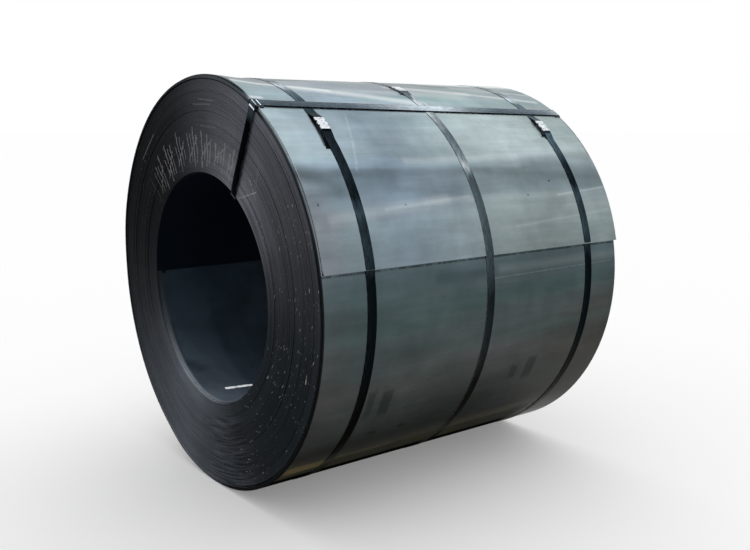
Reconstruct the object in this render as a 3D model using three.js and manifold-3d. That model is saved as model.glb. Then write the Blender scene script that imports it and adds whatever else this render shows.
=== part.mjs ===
// Steel coil lying on its side: hot-rolled strip wound round an open bore, tied by three belly bands
// round its outside and one eye band that runs through the bore. Millimetres, +Z up. The coil's axis
// runs along X, and the floor is at Z = 0. Angles are in degrees round the axis, from the top (+Z)
// towards the side where the strip's outer end lies (-Y).
import * as THREE from 'three';
import { mergeVertices } from 'three/addons/utils/BufferGeometryUtils.js';
import Module from 'manifold-3d';

// ---- The wound strip ----
const coilDiameter = 1350;
const boreDiameter = 762;
const stripWidth = 1250;
const stripThickness = 4;
const tailAngle = 79.4; // where the outermost lap ends
const headAngle = -89.5; // where the innermost lap begins
const outerLapSlide = 10; // how far the outermost lap's end has slid along the axis
const innerLapSlide = 12; // how far the innermost lap has slid along the axis
const lapsInRing = 5; // laps that lie level with each other make one ring of an end face
const ringRelief = 2; // largest slide of a ring along the axis
const rimLaps = 3; // laps of the rim that stands free at the outside of the near end
const rimGapDepth = 8; // depth of the gap inside the rim
const facetCount = 72; // flats round one turn

// ---- Strapping ----
const clearance = 0.3; // air between pieces that touch
const bandWidth = 32;
const bandThickness = 0.9;
const bandPitch = 468; // along the axis, from band to band
const bandCentre = 12; // place of the middle band along the axis
const sealLift = 6; // how far a seal stands off the coil
const rampLength = 40; // run over which a band rises to its seal
const lapStepLength = 18; // run over which a band steps up over its own end
const tailSkew = 13; // how far a band's free end has swung sideways
const seals = [
  { name: 'left', angle: 39.2, tail: 62 },
  { name: 'middle', angle: 18.5, tail: 14 },
  { name: 'right', angle: 40.4, tail: 18 },
];

// ---- Seals ----
const sealLength = 52;
const sealWall = 1;
const sealSlot = 9; // gap between the two folded edges under a seal
const notchWidth = 9;
const notchDepth = 3.2;
const notchPitch = 22;
const lapEndReach = 6; // how far a band's outer end stands out of its seal

// ---- Eye band ----
const eyeAngle = 29.9; // at the near end, on the outside
const eyeSkewAlong = 3.3; // extra angle by the far end
const eyeSkewInward = 2.8; // extra angle by the bore
const eyeTopBend = 4; // inside radius of its bends over the guards
const eyeBoreBend = 1.8; // and round the edges of the bore
const eyeSealRadius = 528; // place of its seal on the far end, from the axis
const eyeRunLength = 110; // longest straight piece of a run

// ---- Edge protectors under the eye band ----
const guardWidth = 44;
const guardThickness = 2;
const guardTopLeg = 24;
const guardFaceLeg = 16;
const guardBendRadius = 1.5;

const bendSteps = 4;

// ---- Worked out from the above ----
const coilRadius = coilDiameter / 2;
const boreRadius = boreDiameter / 2;
const nearEnd = -stripWidth / 2;
const farEnd = stripWidth / 2;
const facetAngle = 360 / facetCount;
const facetFlatness = Math.cos(THREE.MathUtils.degToRad(facetAngle / 2));
const layerPitch = bandThickness + clearance;

const steelFinish = { color: 0x5b666d, roughness: 0.45, metalness: 0.6 };
const bandFinish = { color: 0x14181c, roughness: 0.4, metalness: 0.5 };
const sealFinish = { color: 0xc9ced2, roughness: 0.3, metalness: 0.9 };
const guardFinish = { color: 0x2a2d30, roughness: 0.5, metalness: 0.6 };

const wasm = await Module();
wasm.setup();

// ---- Helpers ----

// A point of the coil's cross-section, as (Y, Z) about the axis.
function polar(radius, degrees) {
  const angle = THREE.MathUtils.degToRad(degrees);
  return new THREE.Vector2(-radius * Math.sin(angle), radius * Math.cos(angle));
}

function turnFraction(degrees) {
  return THREE.MathUtils.euclideanModulo(degrees, 360) / 360;
}

// Angle that a length along the surface spans at the outside of the coil.
function spanAngle(length) {
  return THREE.MathUtils.radToDeg(length / coilRadius);
}

// The strip winds outwards as the angle grows, so the outside loses one thickness in the turn behind
// the tail, and the bore gains one in the turn after the head.
function outsideRadius(degrees) {
  return coilRadius - stripThickness * turnFraction(tailAngle - degrees);
}

function insideRadius(degrees) {
  return boreRadius + stripThickness * turnFraction(degrees - headAngle);
}

function outerSlide(degrees) {
  return outerLapSlide * (1 - turnFraction(tailAngle - degrees));
}

// Facet corners strictly between two angles; facets are centred on the top and the bottom.
function cornersBetween(from, to) {
  const corners = [];
  for (let i = Math.ceil(from / facetAngle - 0.5); (i + 0.5) * facetAngle < to; i++) {
    const corner = (i + 0.5) * facetAngle;
    if (corner > from) corners.push(corner);
  }
  return corners;
}

function toSolid(geometry) {
  const bare = geometry.clone();
  bare.deleteAttribute('normal');
  bare.deleteAttribute('uv');
  const merged = mergeVertices(bare, 1e-4);
  return new wasm.Manifold(new wasm.Mesh({
    numProp: 3,
    vertProperties: new Float32Array(merged.attributes.position.array),
    triVerts: new Uint32Array(merged.index.array),
  }));
}

function toGeometry(solid) {
  const mesh = solid.getMesh();
  const geometry = new THREE.BufferGeometry();
  geometry.setAttribute('position', new THREE.BufferAttribute(mesh.vertProperties, 3));
  geometry.setIndex(new THREE.BufferAttribute(mesh.triVerts, 1));
  geometry.computeVertexNormals();
  return geometry;
}

// Moves every vertex of a geometry to place(x, y, z).
function placeVertices(geometry, place) {
  const position = geometry.attributes.position;
  for (let i = 0; i < position.count; i++) {
    const at = place(position.getX(i), position.getY(i), position.getZ(i));
    position.setXYZ(i, at.x, at.y, at.z);
  }
  geometry.computeVertexNormals();
  return geometry;
}

function namedMesh(name, geometry, finish) {
  const mesh = new THREE.Mesh(geometry, new THREE.MeshStandardMaterial(finish));
  mesh.name = name;
  return mesh;
}

// ---- The coil: a turned body with its outermost and innermost laps joined on ----

// Rings of the end faces, from the bore outwards: each a group of level laps with its own slide.
function endRings() {
  const inside = boreRadius + stripThickness;
  const rimInside = coilRadius - stripThickness * rimLaps;
  const ringWidth = lapsInRing * stripThickness;
  const count = Math.floor((rimInside - stripThickness - inside) / ringWidth);
  const slides = Array.from({ length: count }, (_, i) => ringRelief * ((i * i) % 5) / 4);
  const rings = slides.map((slide, i) => ({ outside: inside + (i + 1) * ringWidth, slide }));
  rings.at(-1).outside = rimInside - stripThickness;
  rings.push({ outside: rimInside, slide: rimGapDepth });
  rings.push({ outside: coilRadius - stripThickness, slide: 0 });
  return rings;
}

// The radius and place of each corner of one end face, from the bore outwards.
function endProfile(rings, end) {
  const points = [];
  let inside = boreRadius + stripThickness;
  for (const { outside, slide } of rings) {
    const last = points.at(-1);
    if (last && last.y === end + slide) points.pop();
    else points.push(new THREE.Vector2(inside, end + slide));
    points.push(new THREE.Vector2(outside, end + slide));
    inside = outside;
  }
  return points;
}

function turnedBody() {
  const rings = endRings();
  const near = endProfile(rings, nearEnd);
  const far = endProfile(rings, farEnd).reverse();
  const profile = [near.at(-1), ...far, ...near];
  const halfFacet = THREE.MathUtils.degToRad(facetAngle / 2);
  const body = new THREE.LatheGeometry(profile, facetCount, halfFacet);
  return body.rotateZ(-Math.PI / 2);
}

// One lap as a crescent: its free face follows the winding, its other face is a circle that lies
// inside the turned body. Its ends slide along the axis by slide(angle).
function lapCrescent(angles, freeRadius, buriedRadius, slide) {
  const free = angles.map((angle) => polar(freeRadius(angle), angle));
  const buried = angles.map((angle) => polar(buriedRadius, angle)).reverse();
  const shape = new THREE.Shape([...free, ...buried]);
  const lap = new THREE.ExtrudeGeometry(shape, { depth: stripWidth, bevelEnabled: false });
  return placeVertices(lap, (y, z, along) => {
    const angle = THREE.MathUtils.radToDeg(Math.atan2(-y, z));
    return new THREE.Vector3(nearEnd + along + slide(angle), y, z);
  });
}

const buriedDepth = 1;

function outermostLap() {
  const start = cornersBetween(tailAngle - 360, tailAngle)[0];
  const angles = [start, ...cornersBetween(start, tailAngle), tailAngle];
  const edge = (angle) => (angle === tailAngle ? coilRadius : outsideRadius(angle));
  const buried = coilRadius - stripThickness - buriedDepth;
  const slide = (angle) => (Math.abs(angle - tailAngle) < 0.01 ? outerLapSlide : outerSlide(angle));
  return lapCrescent(angles, edge, buried, slide);
}

function innermostLap() {
  const end = cornersBetween(headAngle, headAngle + 360).at(-1);
  const angles = [headAngle, ...cornersBetween(headAngle, end), end];
  const buried = boreRadius + stripThickness + buriedDepth;
  return lapCrescent(angles.reverse(), insideRadius, buried, () => innerLapSlide);
}

function coil() {
  const solid = toSolid(turnedBody()).add(toSolid(outermostLap())).add(toSolid(innermostLap()));
  return namedMesh('coil', toGeometry(solid), steelFinish);
}

// ---- Strap: a flat bar bent along a path ----

// Unit offsets to the left of a path at each of its points, lengthened at the bends so that both
// sides of the bar stay parallel.
function pathOffsets(path) {
  const left = (a, b) => new THREE.Vector2(a.y - b.y, b.x - a.x).normalize();
  return path.map((point, i) => {
    const before = i > 0 ? left(path[i - 1], point) : left(point, path[i + 1]);
    const after = i < path.length - 1 ? left(point, path[i + 1]) : before;
    return before.clone().add(after).divideScalar(1 + before.dot(after));
  });
}

// A bar whose underside follows the path, in a plane, with its thickness to the path's left.
// place(point, across, i) carries a point of the plane, and a distance across the bar, into space.
function bentBar(path, width, thickness, place) {
  const offsets = pathOffsets(path);
  const last = path.length - 1;
  const bar = new THREE.BoxGeometry(1, 1, 1, last, 1, 1);
  return placeVertices(bar, (x, y, z) => {
    const i = Math.round((x + 0.5) * last);
    const point = path[i].clone().addScaledVector(offsets[i], z > 0 ? thickness : 0);
    return place(point, y * width, i);
  });
}

// Points of the arc that rounds off a corner of a path.
function bendPoints(before, corner, after, radius) {
  const backward = before.clone().sub(corner).normalize();
  const forward = after.clone().sub(corner).normalize();
  const half = Math.acos(THREE.MathUtils.clamp(backward.dot(forward), -1, 1)) / 2;
  const middle = backward.clone().add(forward).normalize();
  const centre = corner.clone().addScaledVector(middle, radius / Math.sin(half));
  const start = corner.clone().addScaledVector(backward, radius / Math.tan(half));
  const turn = Math.sign(forward.cross(backward)) * (Math.PI - 2 * half);
  const share = (i) => (turn * i) / bendSteps;
  return Array.from({ length: bendSteps + 1 }, (_, i) => start.clone().rotateAround(centre, share(i)));
}

// ---- Belly bands ----

// A band starts with its tail under the seal, goes once round the coil against the winding, steps up
// over its own start and ends on top of it, just past the seal.
function bandPath(seal) {
  const rise = coilRadius + clearance + sealLift;
  const halfSeal = THREE.MathUtils.radToDeg(Math.atan(sealLength / 2 / rise));
  const upperEnd = seal.angle - halfSeal;
  const lowerEnd = seal.angle + halfSeal;
  const ramp = spanAngle(rampLength);
  const tailEnd = lowerEnd + spanAngle(seal.tail);
  const stepEnd = tailEnd + spanAngle(clearance * 2);
  const stepStart = stepEnd + spanAngle(lapStepLength);
  const flatRadius = rise / Math.cos(THREE.MathUtils.degToRad(halfSeal));
  const onCoil = (angle, layer) => {
    const share = THREE.MathUtils.clamp((angle - lowerEnd) / ramp, 0, 1);
    const level = THREE.MathUtils.lerp(flatRadius, outsideRadius(angle) + clearance, share);
    return polar(level + layer * layerPitch, angle);
  };
  const tail = [tailEnd];
  if (tailEnd > lowerEnd + ramp) tail.push(lowerEnd + ramp);
  const path = tail.map((angle) => onCoil(angle, 0));
  const skew = path.map((_, i) => (i === 0 ? tailSkew : tailSkew * ramp / (tailEnd - lowerEnd)));
  path.push(onCoil(lowerEnd, 0), polar(flatRadius, upperEnd));
  path.push(polar(outsideRadius(upperEnd - ramp) + clearance, upperEnd - ramp));
  // Down the far side, under the coil and up to the strip's tail.
  const tangentAngle = THREE.MathUtils.radToDeg(Math.acos(1 - stripThickness / coilRadius));
  const landing = cornersBetween(tailAngle + tangentAngle, tailAngle + tangentAngle + 2 * facetAngle)[0];
  const round = cornersBetween(landing - 360 - 0.01, upperEnd - ramp).reverse();
  path.push(...round.map((angle) => polar(outsideRadius(angle) + clearance, angle)));
  path.push(polar(coilRadius + clearance, tailAngle));
  const rest = cornersBetween(stepStart, tailAngle).reverse();
  path.push(...rest.map((angle) => onCoil(angle, 0)));
  // Over the tail and through the seal.
  path.push(onCoil(stepStart, 0), onCoil(stepEnd, 1));
  const overTail = cornersBetween(lowerEnd + ramp, stepEnd).reverse();
  path.push(...overTail.map((angle) => onCoil(angle, 1)));
  if (stepEnd > lowerEnd + ramp) path.push(onCoil(lowerEnd + ramp, 1));
  path.push(onCoil(lowerEnd, 1));
  const reach = halfSeal + spanAngle(lapEndReach);
  const endRadius = (rise + layerPitch) / Math.cos(THREE.MathUtils.degToRad(reach));
  path.push(polar(endRadius, seal.angle - reach));
  return { path, skew };
}

function bellyBand(seal, centre) {
  const { path, skew } = bandPath(seal);
  const place = (point, across, i) => {
    const sideways = skew[i] ?? 0;
    return new THREE.Vector3(centre - across - sideways, point.x, point.y);
  };
  return namedMesh(`band_${seal.name}`, bentBar(path, bandWidth, bandThickness, place), bandFinish);
}

// ---- Seals: a sleeve folded round both ends of a band, with notches crimped into its sides ----

// Local frame: X across the band, Y along it, Z up from the underside of the lower end.
function sealBody() {
  const half = bandWidth / 2 + clearance;
  const top = bandThickness + layerPitch + clearance;
  const profile = new THREE.Shape([
    new THREE.Vector2(sealSlot / 2, -clearance - sealWall),
    new THREE.Vector2(half + sealWall, -clearance - sealWall),
    new THREE.Vector2(half + sealWall, top + sealWall),
    new THREE.Vector2(-half - sealWall, top + sealWall),
    new THREE.Vector2(-half - sealWall, -clearance - sealWall),
    new THREE.Vector2(-sealSlot / 2, -clearance - sealWall),
    new THREE.Vector2(-sealSlot / 2, -clearance),
    new THREE.Vector2(-half, -clearance),
    new THREE.Vector2(-half, top),
    new THREE.Vector2(half, top),
    new THREE.Vector2(half, -clearance),
    new THREE.Vector2(sealSlot / 2, -clearance),
  ]);
  const sleeve = new THREE.ExtrudeGeometry(profile, { depth: sealLength, bevelEnabled: false });
  sleeve.translate(0, 0, -sealLength / 2).rotateX(Math.PI / 2);
  let solid = toSolid(sleeve);
  for (const side of [-1, 1]) {
    for (const along of [-notchPitch / 2, notchPitch / 2]) {
      const edge = side * (half + sealWall);
      const cut = new THREE.Shape([
        new THREE.Vector2(edge + side, along - notchWidth / 2),
        new THREE.Vector2(edge + side, along + notchWidth / 2),
        new THREE.Vector2(edge - side * notchDepth, along),
      ]);
      const depth = 4 * top;
      const notch = new THREE.ExtrudeGeometry(cut, { depth, bevelEnabled: false });
      solid = solid.subtract(toSolid(notch.translate(0, 0, -depth / 2)));
    }
  }
  return toGeometry(solid);
}

function bellySeal(seal, centre) {
  const mesh = namedMesh(`seal_${seal.name}`, sealBody(), sealFinish);
  mesh.position.set(centre, 0, coilRadius + clearance + sealLift);
  const turned = new THREE.Group();
  turned.rotation.x = THREE.MathUtils.degToRad(seal.angle);
  return turned.add(mesh);
}

// ---- Eye band ----

// The eye band lies in a surface that leans a little round the coil: x and radius give its angle.
function onEye(point, across) {
  const along = (point.x - nearEnd) / stripWidth;
  const inward = (coilRadius - point.y) / (coilRadius - boreRadius);
  const angle = eyeAngle + eyeSkewAlong * along + eyeSkewInward * inward;
  const outward = polar(point.y, angle);
  const sideways = polar(across, angle + 90);
  return new THREE.Vector3(point.x, outward.x + sideways.x, outward.y + sideways.y);
}

// Corners of the band's underside, in (x, radius): over the guards outside, tight to the bore inside.
const guardGap = clearance + guardThickness;
const farEdge = farEnd + outerSlide(eyeAngle + eyeSkewAlong);
const eyeTop = coilRadius + guardGap + clearance;
const boreFlat = boreRadius * facetFlatness - clearance;
const eyeBottom = Math.sqrt(boreFlat ** 2 - (bandWidth / 2) ** 2);
const nearTop = new THREE.Vector2(nearEnd - guardGap - clearance, eyeTop);
const farTop = new THREE.Vector2(farEdge + guardGap + clearance, eyeTop);
const farBottom = new THREE.Vector2(farEnd + innerLapSlide + clearance, eyeBottom);
const nearBottom = new THREE.Vector2(nearEnd - clearance, eyeBottom);

// A point of the far run at a radius, on the lower or the upper of the two layers.
function onFarRun(radius, layer) {
  const share = (radius - eyeBottom) / (eyeTop - eyeBottom);
  return new THREE.Vector2(THREE.MathUtils.lerp(farBottom.x, farTop.x, share) + layer * layerPitch, radius);
}

// Points that divide the straight stretch between two points, ends left out.
function between(from, to) {
  const count = Math.ceil(from.distanceTo(to) / eyeRunLength);
  return Array.from({ length: count - 1 }, (_, i) => from.clone().lerp(to, (i + 1) / count));
}

function eyePath() {
  const reach = sealLength / 2 + lapEndReach;
  const start = onFarRun(eyeSealRadius + reach, 0);
  const stepEnd = onFarRun(eyeSealRadius + reach + 2 * clearance, 1);
  const stepStart = onFarRun(stepEnd.y + lapStepLength, 0);
  const end = onFarRun(eyeSealRadius - reach, 1);
  const bends = [
    bendPoints(start, farBottom, nearBottom, eyeBoreBend),
    bendPoints(farBottom, nearBottom, nearTop, eyeBoreBend),
    bendPoints(nearBottom, nearTop, farTop, eyeTopBend),
    bendPoints(nearTop, farTop, stepStart, eyeTopBend),
  ];
  const path = [start, onFarRun(eyeSealRadius - reach, 0)];
  for (const bend of bends) path.push(...between(path.at(-1), bend[0]), ...bend);
  path.push(stepStart, stepEnd, end);
  return path;
}

function eyeBand() {
  const place = (point, across) => onEye(point, -across);
  return namedMesh('eye_band', bentBar(eyePath(), bandWidth, bandThickness, place), bandFinish);
}

function eyeSeal() {
  const seal = placeVertices(sealBody(), (across, along, up) => {
    const under = onFarRun(eyeSealRadius + along, 0);
    return onEye(new THREE.Vector2(under.x + up, under.y), -across);
  });
  return namedMesh('seal_eye', seal, sealFinish);
}

// ---- Guards: bent plates that keep the eye band off the coil's edges ----

function guard(name, edge, outward) {
  const corner = new THREE.Vector2(edge + outward * clearance, coilRadius + clearance);
  const faceEnd = new THREE.Vector2(corner.x, corner.y - guardFaceLeg);
  const topEnd = new THREE.Vector2(corner.x - outward * guardTopLeg, corner.y);
  const ends = outward < 0 ? [faceEnd, topEnd] : [topEnd, faceEnd];
  const path = [ends[0], ...bendPoints(ends[0], corner, ends[1], guardBendRadius), ends[1]];
  const place = (point, across) => onEye(point, -across);
  return namedMesh(name, bentBar(path, guardWidth, guardThickness, place), guardFinish);
}

// ---- Put together, resting on the undersides of the belly bands ----

const part = new THREE.Group();
const bottomFacet = (outsideRadius(180 + facetAngle / 2) + clearance) * facetFlatness;
part.position.z = bottomFacet + bandThickness;

part.add(coil());
seals.forEach((seal, i) => {
  const centre = bandCentre + (i - 1) * bandPitch;
  part.add(bellyBand(seal, centre), bellySeal(seal, centre));
});
part.add(eyeBand(), eyeSeal());
part.add(guard('guard_near', nearEnd, -1), guard('guard_far', farEdge, 1));

export default part;
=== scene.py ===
"""Steel coil lying on its side: wound strip, belly bands, eye band, seals and edge guards.

Everything is in metres with Z up. The coil's axis runs along X. Angles are in degrees round the axis,
from the top towards the side where the strip's outer end lies (-Y).
"""

import logging
import math
import random
from collections.abc import Sequence
from dataclasses import dataclass, field
from enum import Enum

import bmesh
import bpy
from mathutils import Matrix, Quaternion, Vector


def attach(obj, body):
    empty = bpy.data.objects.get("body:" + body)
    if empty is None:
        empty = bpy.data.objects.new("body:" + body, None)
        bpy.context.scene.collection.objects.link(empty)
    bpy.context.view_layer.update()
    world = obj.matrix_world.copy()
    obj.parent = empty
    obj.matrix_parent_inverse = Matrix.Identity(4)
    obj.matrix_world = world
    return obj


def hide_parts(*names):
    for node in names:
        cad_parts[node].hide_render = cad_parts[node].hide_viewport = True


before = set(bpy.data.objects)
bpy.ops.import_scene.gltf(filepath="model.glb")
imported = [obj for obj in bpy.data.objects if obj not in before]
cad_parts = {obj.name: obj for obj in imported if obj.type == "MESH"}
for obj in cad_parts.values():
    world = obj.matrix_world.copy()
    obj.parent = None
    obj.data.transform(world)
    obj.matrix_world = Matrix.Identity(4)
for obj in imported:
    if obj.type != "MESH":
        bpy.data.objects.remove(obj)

log = logging.getLogger("steel_coil")

Colour = tuple[float, float, float]
Place = tuple[float, float]
Span = tuple[float, float, float, float]
Stops = Sequence[tuple[float, float | Colour]]

SEED = 7
STEPS_OF_A_SEED = 100003
FULL_TURN = 360.0
HALF_TURN = 180.0
ALMOST_NOTHING = 1e-9
ALONG = Vector((1.0, 0.0, 0.0))
WHITE = (1.0, 1.0, 1.0)
BLACK = (0.0, 0.0, 0.0)


# ---------------------------------------------------------------- measures and small sums


def smooth(share: float) -> float:
    """Eases a share from 0 to 1, held at both ends."""
    share = min(1.0, max(0.0, share))
    return share * share * (3.0 - 2.0 * share)


def lerp(start: float, end: float, share: float) -> float:
    """The value a share of the way from start to end."""
    return start + (end - start) * share


def turn_fraction(degrees: float) -> float:
    """The part of a turn that an angle leaves over, from 0 up to 1."""
    return (degrees % FULL_TURN) / FULL_TURN


def window(value: float, span: Span) -> float:
    """Rises eased from 0 to 1 between a span's first two places and falls again between its last two."""
    rise, full, fade, end = span
    return smooth((value - rise) / (full - rise)) * smooth((end - value) / (end - fade))


def spread(start: float, end: float, step: float) -> list[float]:
    """Evenly spaced values from start to end.

    Args:
        start: First value.
        end: Last value.
        step: Largest distance between neighbours.

    Returns:
        The values, both ends included.
    """
    count = max(1, math.ceil(abs(end - start) / step - ALMOST_NOTHING))
    return [lerp(start, end, i / count) for i in range(count + 1)]


@dataclass(frozen=True)
class Drift:
    """A smooth wander between two levels along a length, with a new level at every whole step."""

    seed: int
    low: float
    high: float

    def level(self, step: int) -> float:
        """The level at one whole step."""
        return random.Random(self.seed * STEPS_OF_A_SEED + step).uniform(self.low, self.high)

    def at(self, place: float) -> float:
        """The level at any place along the length."""
        step = math.floor(place)
        return lerp(self.level(step), self.level(step + 1), smooth(place - step))


@dataclass(frozen=True)
class CoilAxis:
    """The line that the strip is wound round."""

    height: float = 0.6727055

    def outward(self, degrees: float) -> Vector:
        """The way out from the axis at an angle."""
        angle = math.radians(degrees)
        return Vector((0.0, -math.sin(angle), math.cos(angle)))

    def onward(self, degrees: float) -> Vector:
        """The way round the axis, towards larger angles."""
        return self.outward(degrees + 90.0)

    def point(self, along: float, radius: float, degrees: float) -> Vector:
        """The point at a place along the axis, a radius and an angle."""
        return Vector((along, 0.0, self.height)) + self.outward(degrees) * radius


AXIS = CoilAxis()


@dataclass(frozen=True)
class Winding:
    """How the strip is wound: its sizes, its two ends and how far its laps have slid."""

    outer_radius: float = 0.675
    bore_radius: float = 0.381
    strip_width: float = 1.25
    strip_thickness: float = 0.004
    tail_angle: float = 79.4
    head_angle: float = -89.5
    laps_in_ring: int = 5
    ring_relief: float = 0.002
    rim_laps: int = 3
    rim_gap_depth: float = 0.008
    outer_lap_slide: float = 0.010
    inner_lap_slide: float = 0.012

    @property
    def near_end(self) -> float:
        """Where the near end face lies along the axis."""
        return -self.strip_width / 2

    @property
    def far_end(self) -> float:
        """Where the far end face lies along the axis."""
        return self.strip_width / 2

    @property
    def turns(self) -> float:
        """Number of turns from the tail to the head."""
        whole = round((self.outer_radius - self.bore_radius) / self.strip_thickness) - 1
        return whole + turn_fraction(self.tail_angle - self.head_angle)

    @property
    def pitch(self) -> float:
        """How far the strip comes inwards in one turn."""
        return (self.outer_radius - self.bore_radius - self.strip_thickness) / self.turns

    def angle(self, turn: float) -> float:
        """The angle that the strip has reached at a turn counted from the tail."""
        return self.tail_angle - FULL_TURN * turn

    def radius(self, turn: float) -> float:
        """The radius of the strip's outside at a turn counted from the tail."""
        return self.outer_radius - self.pitch * turn

    def outside(self, degrees: float) -> float:
        """The radius of the coil's outside at an angle."""
        return self.radius(turn_fraction(self.tail_angle - degrees))

    def slide_outside(self, degrees: float) -> float:
        """How far the outermost lap has slid along the axis at an angle."""
        return self.outer_lap_slide * (1.0 - turn_fraction(self.tail_angle - degrees))


WINDING = Winding()


@dataclass(frozen=True)
class NearEnd:
    """How the near end has shifted: leaned over, swollen and squeezed at its rim, sagged at its bore."""

    reach: float = 0.11
    lean: float = 0.008
    lean_angle: float = -22.0
    foot_share: float = 0.6
    swell: float = 0.0085
    swell_span: Span = (-68.0, -28.0, 8.0, 38.0)
    squeeze: float = 0.009
    squeeze_span: Span = (-162.0, -146.0, -92.0, -72.0)
    sag: float = 0.013
    sag_span: Span = (-80.0, 25.0, 45.0, 118.0)
    rim_from: float = 0.5
    rim_run: float = 0.15
    bore_from: float = 0.37
    bore_run: float = 0.13

    def growth(self, radius: float, degrees: float) -> float:
        """How much farther out a point of the end face lies.

        Args:
            radius: The point's distance from the axis.
            degrees: Its angle.

        Returns:
            The growth in metres, below 0 where the point has come inwards.
        """
        rim = self.swell * window(degrees, self.swell_span)
        rim -= self.squeeze * window(degrees, self.squeeze_span)
        bore = self.sag * window(degrees, self.sag_span)
        at_rim = smooth((radius - self.rim_from) / self.rim_run)
        at_bore = 1.0 - smooth((radius - self.bore_from) / self.bore_run)
        return at_rim * rim - at_bore * bore

    def carry(self, point: Vector) -> Vector:
        """Carries a point of the true round coil to where it has gone.

        Args:
            point: A point near the coil.

        Returns:
            The point's place.
        """
        near = 1.0 - smooth((point.x - WINDING.near_end) / self.reach)
        side, up = -point.y, point.z - AXIS.height
        radius = math.hypot(side, up)
        if near <= 0.0 or radius <= 0.0:
            return point
        degrees = math.degrees(math.atan2(side, up))
        lean = math.cos(math.radians(degrees - self.lean_angle)) * radius / WINDING.outer_radius
        lean *= self.lean if lean > 0.0 else self.lean * self.foot_share
        return AXIS.point(point.x - near * lean, radius + near * self.growth(radius, degrees), degrees)


NEAR_END = NearEnd()


# ---------------------------------------------------------------- flat bars laid along a route


@dataclass(frozen=True)
class Station:
    """One cross-section of a flat bar: the middle of its underside and its two directions.

    The mark is a number that the finish may read, such as the turn of a winding.
    """

    point: Vector
    outward: Vector
    across: Vector
    mark: float = 0.0


class Side(Enum):
    """The sides of a flat bar, in the order of its materials."""

    TOP = 0
    EDGE = 1
    UNDER = 2


@dataclass
class FlatBar:
    """A flat bar that is made straight and then laid along a route.

    Across its width it has equal lanes, or lanes parted at the cuts, counted from its middle line.
    Its mesh carries four values for its finish: run, the metres along it; across, from -1 to 1; up,
    from 0 at the underside to 1 at the top; and the station's mark.
    """

    width: float
    thickness: float
    rounding: float = 0.0
    lanes: int = 1
    cuts: tuple[float, ...] = ()
    flat_above: float = 0.7
    crease_angle: float = 0.8
    corner_angle: float = 1.0

    def straight(self, segments: int) -> bmesh.types.BMesh:
        """Makes the bar straight, one unit long for every segment.

        Args:
            segments: Number of segments along the bar.

        Returns:
            The bar as a closed mesh, its underside at a height of 0.
        """
        bm = bmesh.new()
        lanes = len(self.cuts) + 1 if self.cuts else self.lanes
        bmesh.ops.create_grid(bm, x_segments=segments, y_segments=lanes, size=0.5)
        bmesh.ops.translate(bm, verts=bm.verts, vec=(0.5, 0.0, 0.0))
        bmesh.ops.scale(bm, verts=bm.verts, vec=(segments, self.width, 1.0))
        if self.cuts:
            places = (-self.width / 2, *self.cuts, self.width / 2)
            for vert in bm.verts:
                vert.co.y = places[round((vert.co.y / self.width + 0.5) * lanes)]
        bmesh.ops.solidify(bm, geom=list(bm.faces), thickness=self.thickness)
        bmesh.ops.translate(bm, verts=bm.verts, vec=(0.0, 0.0, self.thickness))
        bmesh.ops.recalc_face_normals(bm, faces=bm.faces)
        if self.rounding > 0.0:
            bmesh.ops.bevel(
                bm,
                geom=[edge for edge in bm.edges if self._is_long_corner(edge)],
                offset=self.rounding,
                offset_type="OFFSET",
                affect="EDGES",
                segments=2,
                profile=0.5,
                material=-1,
            )
        return bm

    def _is_long_corner(self, edge: bmesh.types.BMEdge) -> bool:
        """Whether an edge is one of the four that run along the bar."""
        lengthwise = abs(edge.verts[0].co.x - edge.verts[1].co.x) > 0.5
        return lengthwise and edge.is_manifold and edge.calc_face_angle() > self.corner_angle

    def lay(self, stations: Sequence[Station]) -> bmesh.types.BMesh:
        """Makes the bar and lays it along a route.

        Args:
            stations: The cross-sections from one end of the bar to the other.

        Returns:
            The finished mesh, its faces numbered by Side.
        """
        bm = self.straight(len(stations) - 1)
        values = [bm.verts.layers.float.new(name) for name in ("run", "across", "up", "mark")]
        lengths = [0.0]
        for before, after in zip(stations, stations[1:]):
            lengths.append(lengths[-1] + (after.point - before.point).length)
        for face in bm.faces:
            side = Side.EDGE
            if abs(face.normal.z) > self.flat_above:
                side = Side.TOP if face.normal.z > 0.0 else Side.UNDER
            face.material_index = side.value
            face.smooth = True
        for edge in bm.edges:
            edge.smooth = not edge.is_manifold or edge.calc_face_angle() < self.crease_angle
        for vert in bm.verts:
            i, y, z = round(vert.co.x), vert.co.y, vert.co.z
            station = stations[i]
            kept = (lengths[i], 2.0 * y / self.width, z / self.thickness, station.mark)
            for layer, value in zip(values, kept):
                vert[layer] = value
            vert.co = station.point + station.across * y + station.outward * z
        bmesh.ops.recalc_face_normals(bm, faces=bm.faces)
        return bm


def piece(
    bm: bmesh.types.BMesh,
    name: str,
    materials: Sequence[bpy.types.Material],
    nodes: Sequence[str],
) -> bpy.types.Object:
    """Turns a mesh into a named piece that rides on the coil and stands for CAD nodes.

    Args:
        bm: The mesh, which is used up.
        name: Name of the piece.
        materials: Its finishes, by face number.
        nodes: The CAD nodes that it stands for.

    Returns:
        The new object.
    """
    rest = bm.verts.layers.float_vector.new("rest")
    for vert in bm.verts:
        vert[rest] = vert.co
        vert.co = NEAR_END.carry(vert.co)
    thing = linked(bm, name, materials)
    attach(thing, "root")
    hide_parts(*nodes)
    log.info("%s: %d triangles", name, sum(len(face.vertices) - 2 for face in thing.data.polygons))
    return thing


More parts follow.
